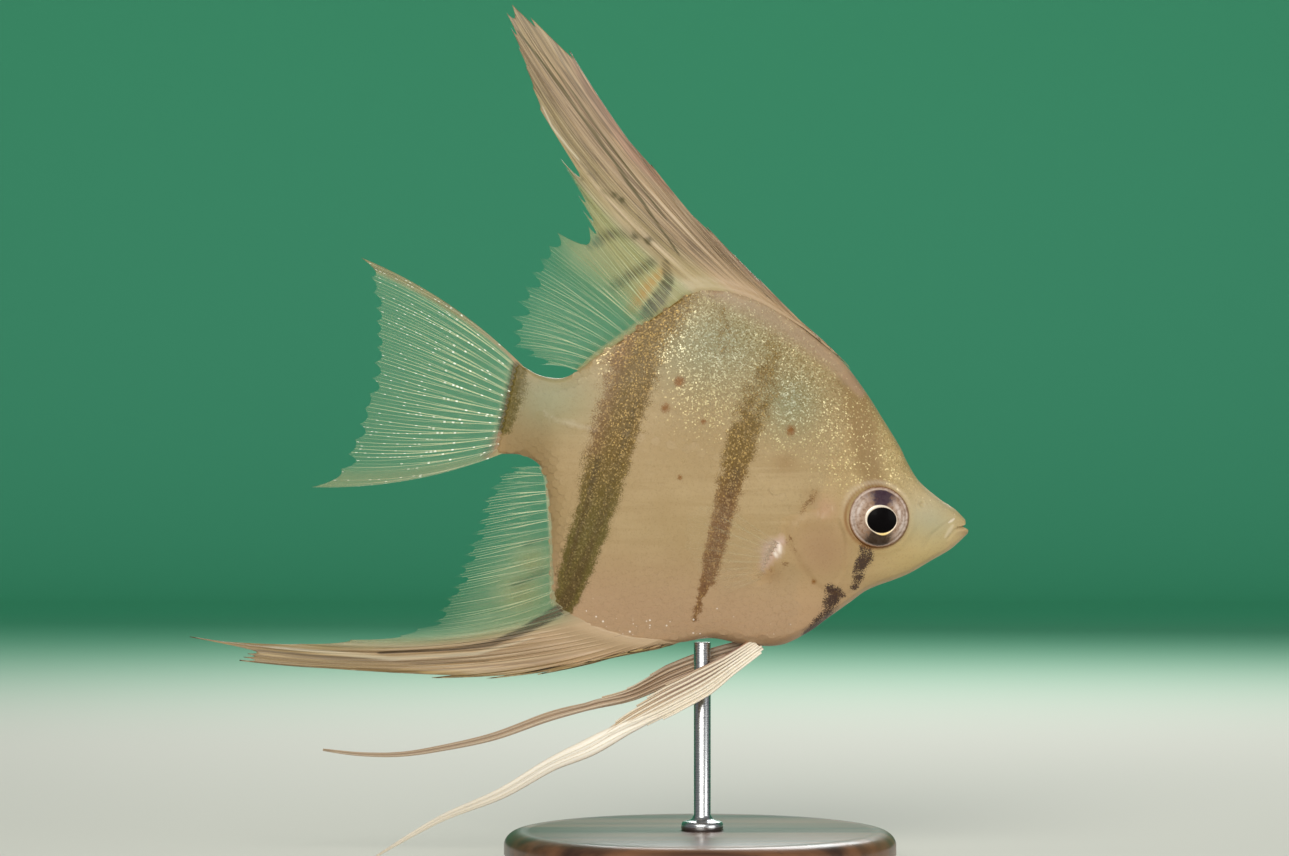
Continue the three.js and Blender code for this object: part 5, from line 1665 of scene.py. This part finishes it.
PELVICS = (
    PelvicFin(
        Side.RIGHT,
        ((0, 0, 0), (-3.9, 0.95, -2.6), (-7.9, 1.55, -5.1), (-12.9, 2.35, -7.6), (-18.2, 3.15, -10.5),
         (-23.5, 3.95, -13.9), (-29.2, 4.65, -16.5), (-36.2, 5.45, -20.5), (-44.7, 6.35, -24.0),
         (-53.6, 7.35, -29.1)),
        ((0, 1.2, 1.2), (0.08, 1.5, 1.5), (0.15, 2.1, 2.1), (0.24, 2.3, 2.2), (0.33, 2.1, 2.1),
         (0.42, 1.6, 1.7), (0.48, 1.3, 1.3), (0.54, 1.05, 1.05),
         (0.67, 0.85, 0.85), (0.82, 0.52, 0.52), (1, 0.2, 0.2)),
        ((0.03, 0.27, 0.95), (0.09, 0.31, 1.0), (0.16, 1.0, 1.0), (0.24, 1.0, 0.95), (0.32, 1.0, 1.0),
         (0.39, 0.58, 0.4), (0.46, 0.54, 0.9), (0.53, 0.49, 0.0), (0.6, 0.45, 0.75), (0.67, 0.4, 0.0),
         (0.74, 0.37, 0.7), (0.81, 0.31, 0.1), (0.88, 0.28, 0.6), (0.95, 0.23, 0.0)),
        0.24, 0.85,
    ),
    PelvicFin(
        Side.LEFT,
        ((0, 0, 0), (-7.9, 1.65, -2.8), (-12.9, 2.45, -4.9), (-18.2, 3.35, -7.2), (-23.3, 4.05, -8.6),
         (-29.8, 4.95, -10.5), (-37.6, 5.95, -13.4), (-45.4, 6.75, -15.2), (-51.3, 7.35, -16.1),
         (-57.1, 7.75, -16.1), (-62.5, 8.15, -15.5)),
        ((0, 1.2, 1.2), (0.1, 1.3, 1.6), (0.2, 1.2, 1.7), (0.28, 1.1, 1.1), (0.37, 0.8, 0.9),
         (0.4, 0.7, 0.6), (0.6, 0.5, 0.5), (0.8, 0.32, 0.32), (1, 0.2, 0.2)),
        ((0.06, 0.5, 0.35), (0.2, 1.0, 0.36), (0.33, 1.0, 0.2), (0.46, 1.0, 0.3), (0.58, 0.5, 0.1),
         (0.7, 0.42, 0.4), (0.81, 0.36, 0.1), (0.9, 0.3, 0.5), (0.97, 0.24, 0.15)),
        0.33, 0.1,
    ),
)


@dataclass
class PectoralFin:
    """A glass-clear fan that stands off the flank behind the gill cover."""

    side: Side
    top: tuple[float, float] = (11.4, 45.8)
    bottom: tuple[float, float] = (9.0, 41.4)
    length: float = 17.0
    rays: int = 10
    rows: int = 36
    flare: float = 0.6
    rise: tuple[float, float] = (0.62, -0.42)
    shares: Rows = ((0, 0.8), (0.2, 1), (0.45, 0.88), (0.75, 0.62), (1, 0.4))
    sink: float = 0.65
    curl: float = 0.18

    @property
    def name(self) -> str:
        """The fin's name, which is also its node's."""
        return f"pectoral_fin_{self.side.word}"

    def build(self, skin: Skin, material: bpy.types.Material) -> bpy.types.Object:
        """Makes the fin and dresses it."""
        column = columns_of(self.rays)
        share = column / (self.rays - 1)
        x0, z0 = (lerp(self.top[k], self.bottom[k], share) for k in (0, 1))
        start = np.array([abs(skin.cast(x, z, self.side)[0].y) for x, z in zip(x0, z0)]) - self.sink
        rise = lerp(self.rise[0], self.rise[1], share)
        flare = self.flare * (1 - 0.25 * share)
        web = 0.7 * np.sin(math.pi * (column - np.floor(column))) ** 0.8
        length = self.length * keyed(self.shares, share)[0] - web
        t = np.linspace(0, 1, self.rows + 1)[None, :]
        run = length[:, None] * t
        back = np.cos(flare)[:, None] * run
        points = np.stack([
            x0[:, None] - back * np.cos(rise)[:, None],
            self.side.value * (start[:, None] + np.sin(flare)[:, None] * run * (1 - self.curl * t)),
            z0[:, None] + back * np.sin(rise)[:, None],
        ], -1)
        halves = lerp(0.09, 0.05, t) + ridge(column)[:, None] * lerp(0.24, 0.08, t)
        piece = make_piece(self.name, *sheet(points, halves))
        reach = np.broadcast_to(t, run.shape)
        foot = ease(0.14, 0.0, reach)
        finish_fin(piece, run.shape, {
            "column": column[:, None], "reach": reach, "run": run, "spacing": lerp(0.55, 2.0, reach),
            "soft": 1.0, "dense": 0.6 * foot, "blush": 0.6 * foot, "veil": 0.012 + 0.7 * foot,
        })
        dress(piece, material, "clear_fin", self.name)
        return piece


# ---------------------------------------------------------------------------
# Eyes
# ---------------------------------------------------------------------------


EYE_ARCS: Rows = (        # radius, angle, width and spread of the iris's silvery arcs
    (0.84, 3.0, 0.05, 0.7), (0.8, -0.35, 0.07, 0.55), (0.66, 0.3, 0.08, 0.5), (0.72, 2.75, 0.06, 0.5))


@dataclass
class Eye:
    """A disc-shaped eye: a low dome with a bulging pupil, in a close socket."""

    side: Side
    centre: tuple[float, float]
    radius: float
    rim: float                # how far the rim plane is from the middle plane
    dome: float = EYE_DOME
    bowl: float = 2.7
    turn: float = 0.11        # radians that the gaze turns forward
    pupil: tuple[float, float] = (0.29, -0.43)
    pupil_half: tuple[float, float] = (2.12, 1.82)
    pupil_radius: float = 1.95
    sides: int = 144
    rings: tuple[int, int] = (84, 12)   # over the front and the back

    def pupil_gap(self, a: Array, b: Array) -> Array:
        """How far places of the eye's plane lie outside the pupil."""
        off = np.hypot((a - self.pupil[0]) / self.pupil_half[0], (b - self.pupil[1]) / self.pupil_half[1])
        return (off - 1) * self.pupil_radius

    def build(self, material: bpy.types.Material) -> bpy.types.Object:
        """Makes the eye and dresses it."""
        angle = np.linspace(0, 2 * math.pi, self.sides, endpoint=False)
        front = np.linspace(0.012, 1, self.rings[0])
        back = np.cos(np.linspace(0, math.pi / 2, self.rings[1]))[1:-1]
        r = self.radius * np.concatenate([front, back])[:, None]
        a, b = r * np.cos(angle), r * np.sin(angle)
        q = np.minimum(r / self.radius, 1)
        level = np.sqrt(1 - q**2)
        gap = self.pupil_gap(a, b)
        detail = 0.09 * bell(gap - 0.22, 0.2) - 0.05 * ease(0.06, -0.06, gap)
        detail += 0.16 * unit(1 - (gap / self.pupil_radius + 1) ** 2)
        detail -= 0.07 * bell(r - 0.88 * self.radius, 0.16)
        is_front = np.arange(len(a))[:, None] < len(front)
        h = np.where(is_front, self.dome * level + detail * ease(1.0, 0.9, q), -self.bowl * level)
        across = np.array([math.cos(self.turn), -self.side.value * math.sin(self.turn), 0])
        out = np.array([math.sin(self.turn), self.side.value * math.cos(self.turn), 0])
        middle = np.array([self.centre[0], self.side.value * self.rim, self.centre[1]])
        up = np.array([0, 0, 1.0])
        rings = middle + a[..., None] * across + b[..., None] * up + h[..., None] * out
        ends = np.array([middle + h[0].mean() * out, middle - self.bowl * out])
        points, faces = closed_tube(rings, ends)
        piece = make_piece(f"eye_ball_{self.side.word}", points, faces)
        paint(piece, self.colours((points - middle) @ across, (points - middle) @ up))
        dress(piece, material, "eye", f"eye_{self.side.word}")
        return piece

    @staticmethod
    def facing(turn: Array, way: float, spread: float) -> Array:
        """1 at an angle round the eye, falling over a spread to both sides."""
        return bell(np.angle(np.exp(1j * (turn - way))), spread)

    def colours(self, a: Array, b: Array) -> Masks:
        """The masks of pupil, ring, patches and rim over the eye's own plane."""
        gap = self.pupil_gap(a, b)
        way = np.arctan2(b - self.pupil[1], a - self.pupil[0])
        above = unit(np.cos(way - 2.2)) ** 1.4
        below = unit(np.cos(way + 1.45)) ** 6
        width = 0.07 + 0.36 * above + 0.26 * below
        r = np.hypot(a, b) / self.radius
        turn = np.arctan2(b, a)
        arcs = most(*(bell(r - radius, wide) * self.facing(turn, middle, spread)
                      for radius, middle, wide, spread in EYE_ARCS))
        lower = ease(0.0, 0.16, gap) * ease(0.97, 0.88, r) * self.facing(turn, -1.62, 0.62)
        upper = ease(0.05, 0.4, gap) * ease(0.93, 0.84, r) * self.facing(turn, 1.45, 0.6)
        foot = unit(np.cos(turn + 2.4)) * ease(0.92, 0.97, r)
        return {
            "pupil": ease(0.04, -0.03, gap),
            "ring": ease(-0.02, 0.03, gap) * ease(width + 0.06, width - 0.03, gap),
            # Where the painted reflection at the foot of the ring lies.
            "glow": below,
            "halo": unit(0.4 * bell(r - 0.91, 0.03) + 0.6 * arcs),
            "upper_patch": 1.15 * upper,
            "lower_patch": 1.25 * lower,
            "rim": unit(ease(0.96, 0.99, r) + 0.6 * foot),
        }


# ---------------------------------------------------------------------------
# Stand
# ---------------------------------------------------------------------------


@dataclass(frozen=True)
class Stand:
    """A round wooden base and a steel rod with a collar, as large as their solids."""

    rod: float = 1.2
    rounding: tuple[float, float] = (2.6, 2.0)   # run and rise of the base's upper edge
    base_sides: int = 160
    rod_sides: int = 64

    def build(self, wood: bpy.types.Material, steel: bpy.types.Material) -> None:
        """Makes the base and the rod and dresses them."""
        low, high = (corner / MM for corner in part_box("stand_base"))
        radius, top = (high.x - low.x) / 2, high.z
        run, rise = self.rounding
        profile = (
            (0, 0), (radius - 0.9, 0), (radius - 0.5, 0.3), (radius - 0.4, 1.2), (radius, 1.7), (radius, 2.6),
            *((radius - run + run * math.cos(t), top - rise + rise * math.sin(t))
              for t in np.linspace(0, math.pi / 2, 12)),
            (radius - 3.2, top - 0.12), (radius - 3.6, top), (6.0, top), (0, top),
        )
        base = lathe("stand_base_turned", profile, (0.0, 0.0), self.base_sides)
        dress(base, wood, "base_wood", "stand_base")
        low, high = (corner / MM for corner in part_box("stand_rod"))
        collar = (high.x - low.x) / 2
        foot, end = top - 0.2, high.z - 0.15
        rings = (
            (collar, 0), (collar, 1.0), (collar - 0.15, 1.35), (collar - 0.5, 1.5), (self.rod + 0.7, 1.6),
            (self.rod + 0.25, 1.9), (self.rod, 2.4),
        )
        profile = ((0, foot), *((r, foot + z) for r, z in rings), (self.rod, end - 0.1),
                   (self.rod - 0.1, end), (0, end))
        post = lathe("stand_rod_steel", profile, ((high.x + low.x) / 2, 0.0), self.rod_sides)
        dress(post, steel, "rod_steel", "stand_rod")


# ---------------------------------------------------------------------------
# Studio
# ---------------------------------------------------------------------------


@dataclass(frozen=True)
class Lamp:
    """A soft square light that looks at the fish."""

    name: str
    place: tuple[float, float, float]
    size: float
    power: float
    tint: tuple[float, float, float] = (1.0, 1.0, 1.0)

    def build(self, target: Vector) -> None:
        """Makes the light."""
        data = bpy.data.lights.new(self.name, "AREA")
        data.size = self.size * MM
        data.energy = self.power
        data.color = self.tint
        lamp = add_object(self.name, data)
        lamp.location = Vector(self.place) * MM
        lamp.rotation_euler = (target - lamp.location).to_track_quat("-Z", "Y").to_euler()


@dataclass
class Studio:
    """Pale floor and backdrop, soft lights and the camera."""

    eye: tuple[float, float, float] = (VIEW_AXIS[0], -VIEW_DISTANCE, VIEW_AXIS[1])
    field_width: float = 184.14          # what the frame holds at the fish
    sensor: float = 36.0
    lamps: tuple[Lamp, ...] = (
        Lamp("key", (-110, -530, 350), 400, 3.3, (1.0, 0.98, 0.91)),
        Lamp("fill", (560, -420, 120), 420, 1.75, (0.99, 0.99, 0.96)),
        Lamp("back", (60, 420, 380), 300, 2.0),
    )
    floor: tuple = linear(206, 205, 196)
    wall: tuple = linear(104, 214, 168)
    sky: tuple = (0.9, 0.94, 1.0, 1.0)
    sky_strength: float = 0.19
    target: tuple[float, float, float] = (-5.0, 0.0, 60.0)
    bend_from: float = 900.0             # how far behind the fish the floor starts to curve up
    bend_radius: float = 220.0
    front: float = 3000.0                # how far the floor runs out before the fish
    aside: float = 3200.0                # the same to either side
    height: float = 1800.0

    def build(self) -> None:
        """Makes the stage, the lights and the camera."""
        bpy.context.scene.view_settings.view_transform = "Standard"
        self.sweep()
        target = Vector(self.target) * MM
        for lamp in self.lamps:
            lamp.build(target)
        world = bpy.data.worlds.new("studio")
        world.use_nodes = True
        light = world.node_tree.nodes["Background"]
        light.inputs["Color"].default_value = self.sky
        light.inputs["Strength"].default_value = self.sky_strength
        bpy.context.scene.world = world
        data = bpy.data.cameras.new("camera")
        data.sensor_width = self.sensor
        data.lens = self.sensor * -self.eye[1] / self.field_width
        camera = add_object("camera", data)
        camera.location = Vector(self.eye) * MM
        camera.rotation_euler = (math.pi / 2, 0, 0)
        bpy.context.scene.camera = camera

    def sweep(self) -> None:
        """One sheet that runs over the floor and curves up into the wall."""
        start, radius = self.bend_from, self.bend_radius
        bend = [(start + radius * math.sin(t), radius - radius * math.cos(t))
                for t in np.linspace(0, math.pi / 2, 24)]
        profile = [(-self.front, 0.0), (-300.0, 0.0), (300.0, 0.0), *bend, (start + radius, self.height)]
        points = np.array([[x, y, z] for y, z in profile for x in (-self.aside, self.aside)])
        stage = make_piece("stage", points, grid_faces(len(profile), 2, False))
        s = Shader("stage_paper")
        depth = s.node("SeparateXYZ", {0: s.place}, 1)
        s.base = s.mix(depth.scaled(0.2, 0.85), self.floor, self.wall)
        stage.data.materials.append(s.finish(roughness=0.9, specular_ior_level=0.2))


# ---------------------------------------------------------------------------
# The model
# ---------------------------------------------------------------------------


def main() -> None:
    """Builds the model in order: stage, skin, scales, fins, eyes and stand."""
    logging.basicConfig(level=logging.INFO, format="%(name)s %(message)s")
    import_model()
    Studio().build()
    low, high = (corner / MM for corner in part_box("eye_right"))
    centre = ((low.x + high.x) / 2 - EYE_SHIFT[0], (low.z + high.z) / 2 + EYE_SHIFT[1])
    radius = EYE_SWELL * (high.z - low.z) / 2
    body = Body(centre, radius)
    skin = Skin(body, Markings(centre, radius))
    flesh = SkinFinish().material()
    skin.build(flesh)
    Scales(skin).build(flesh)
    blade = FinFinish("fin_blade", plain=11.0, ray_root=0.1, ray_tip=0.04, branch_from=-0.6,
                      ray_cover=0.56, strands=0.9)
    thread = replace(
        blade, name="fin_thread", flesh=linear(180, 152, 114), groove=linear(86, 64, 32),
        stain=linear(72, 54, 28), plain=20.0, strands=1.5)
    tail = FinFinish("fin_tail", beads=0.24, ray_cover=0.66, ray_root=0.11, ray_tip=0.055,
                     branch_from=-0.5, branch_spread=0.27, film=0.26)
    DorsalFin.of(body).build(blade.material())
    AnalFin.of(body).build(thread.material())
    CaudalFin.of(body).build(tail.material())
    pelvic = FinFinish(
        "fin_pelvic", membrane=linear(226, 210, 180), ray=linear(240, 230, 208),
        lace=linear(222, 198, 166), flesh=linear(160, 122, 80), stain=linear(104, 60, 52),
        groove=linear(92, 58, 44), amber=linear(170, 116, 50), pale=linear(250, 243, 230),
        joint=1.9, joint_cover=0.18).material()
    for fin in PELVICS:
        fin.build(body, pelvic)
    clear = FinFinish("fin_clear", membrane=linear(210, 204, 170), ray_cover=0.1, ray_root=0.1,
                      ray_tip=0.05, branch_from=0.3, film=0.0).material()
    pearl = EyeFinish().material()
    for side in Side:
        PectoralFin(side).build(skin, clear)
        face = "eye_right" if side is Side.RIGHT else "eye_left"
        low, high = (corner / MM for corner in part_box(face))
        Eye(side, centre, radius, max(abs(low.y), abs(high.y)) - EYE_DOME).build(pearl)
    Stand().build(WoodFinish().material(), SteelFinish().material())


if __name__ == "__main__":
    main()
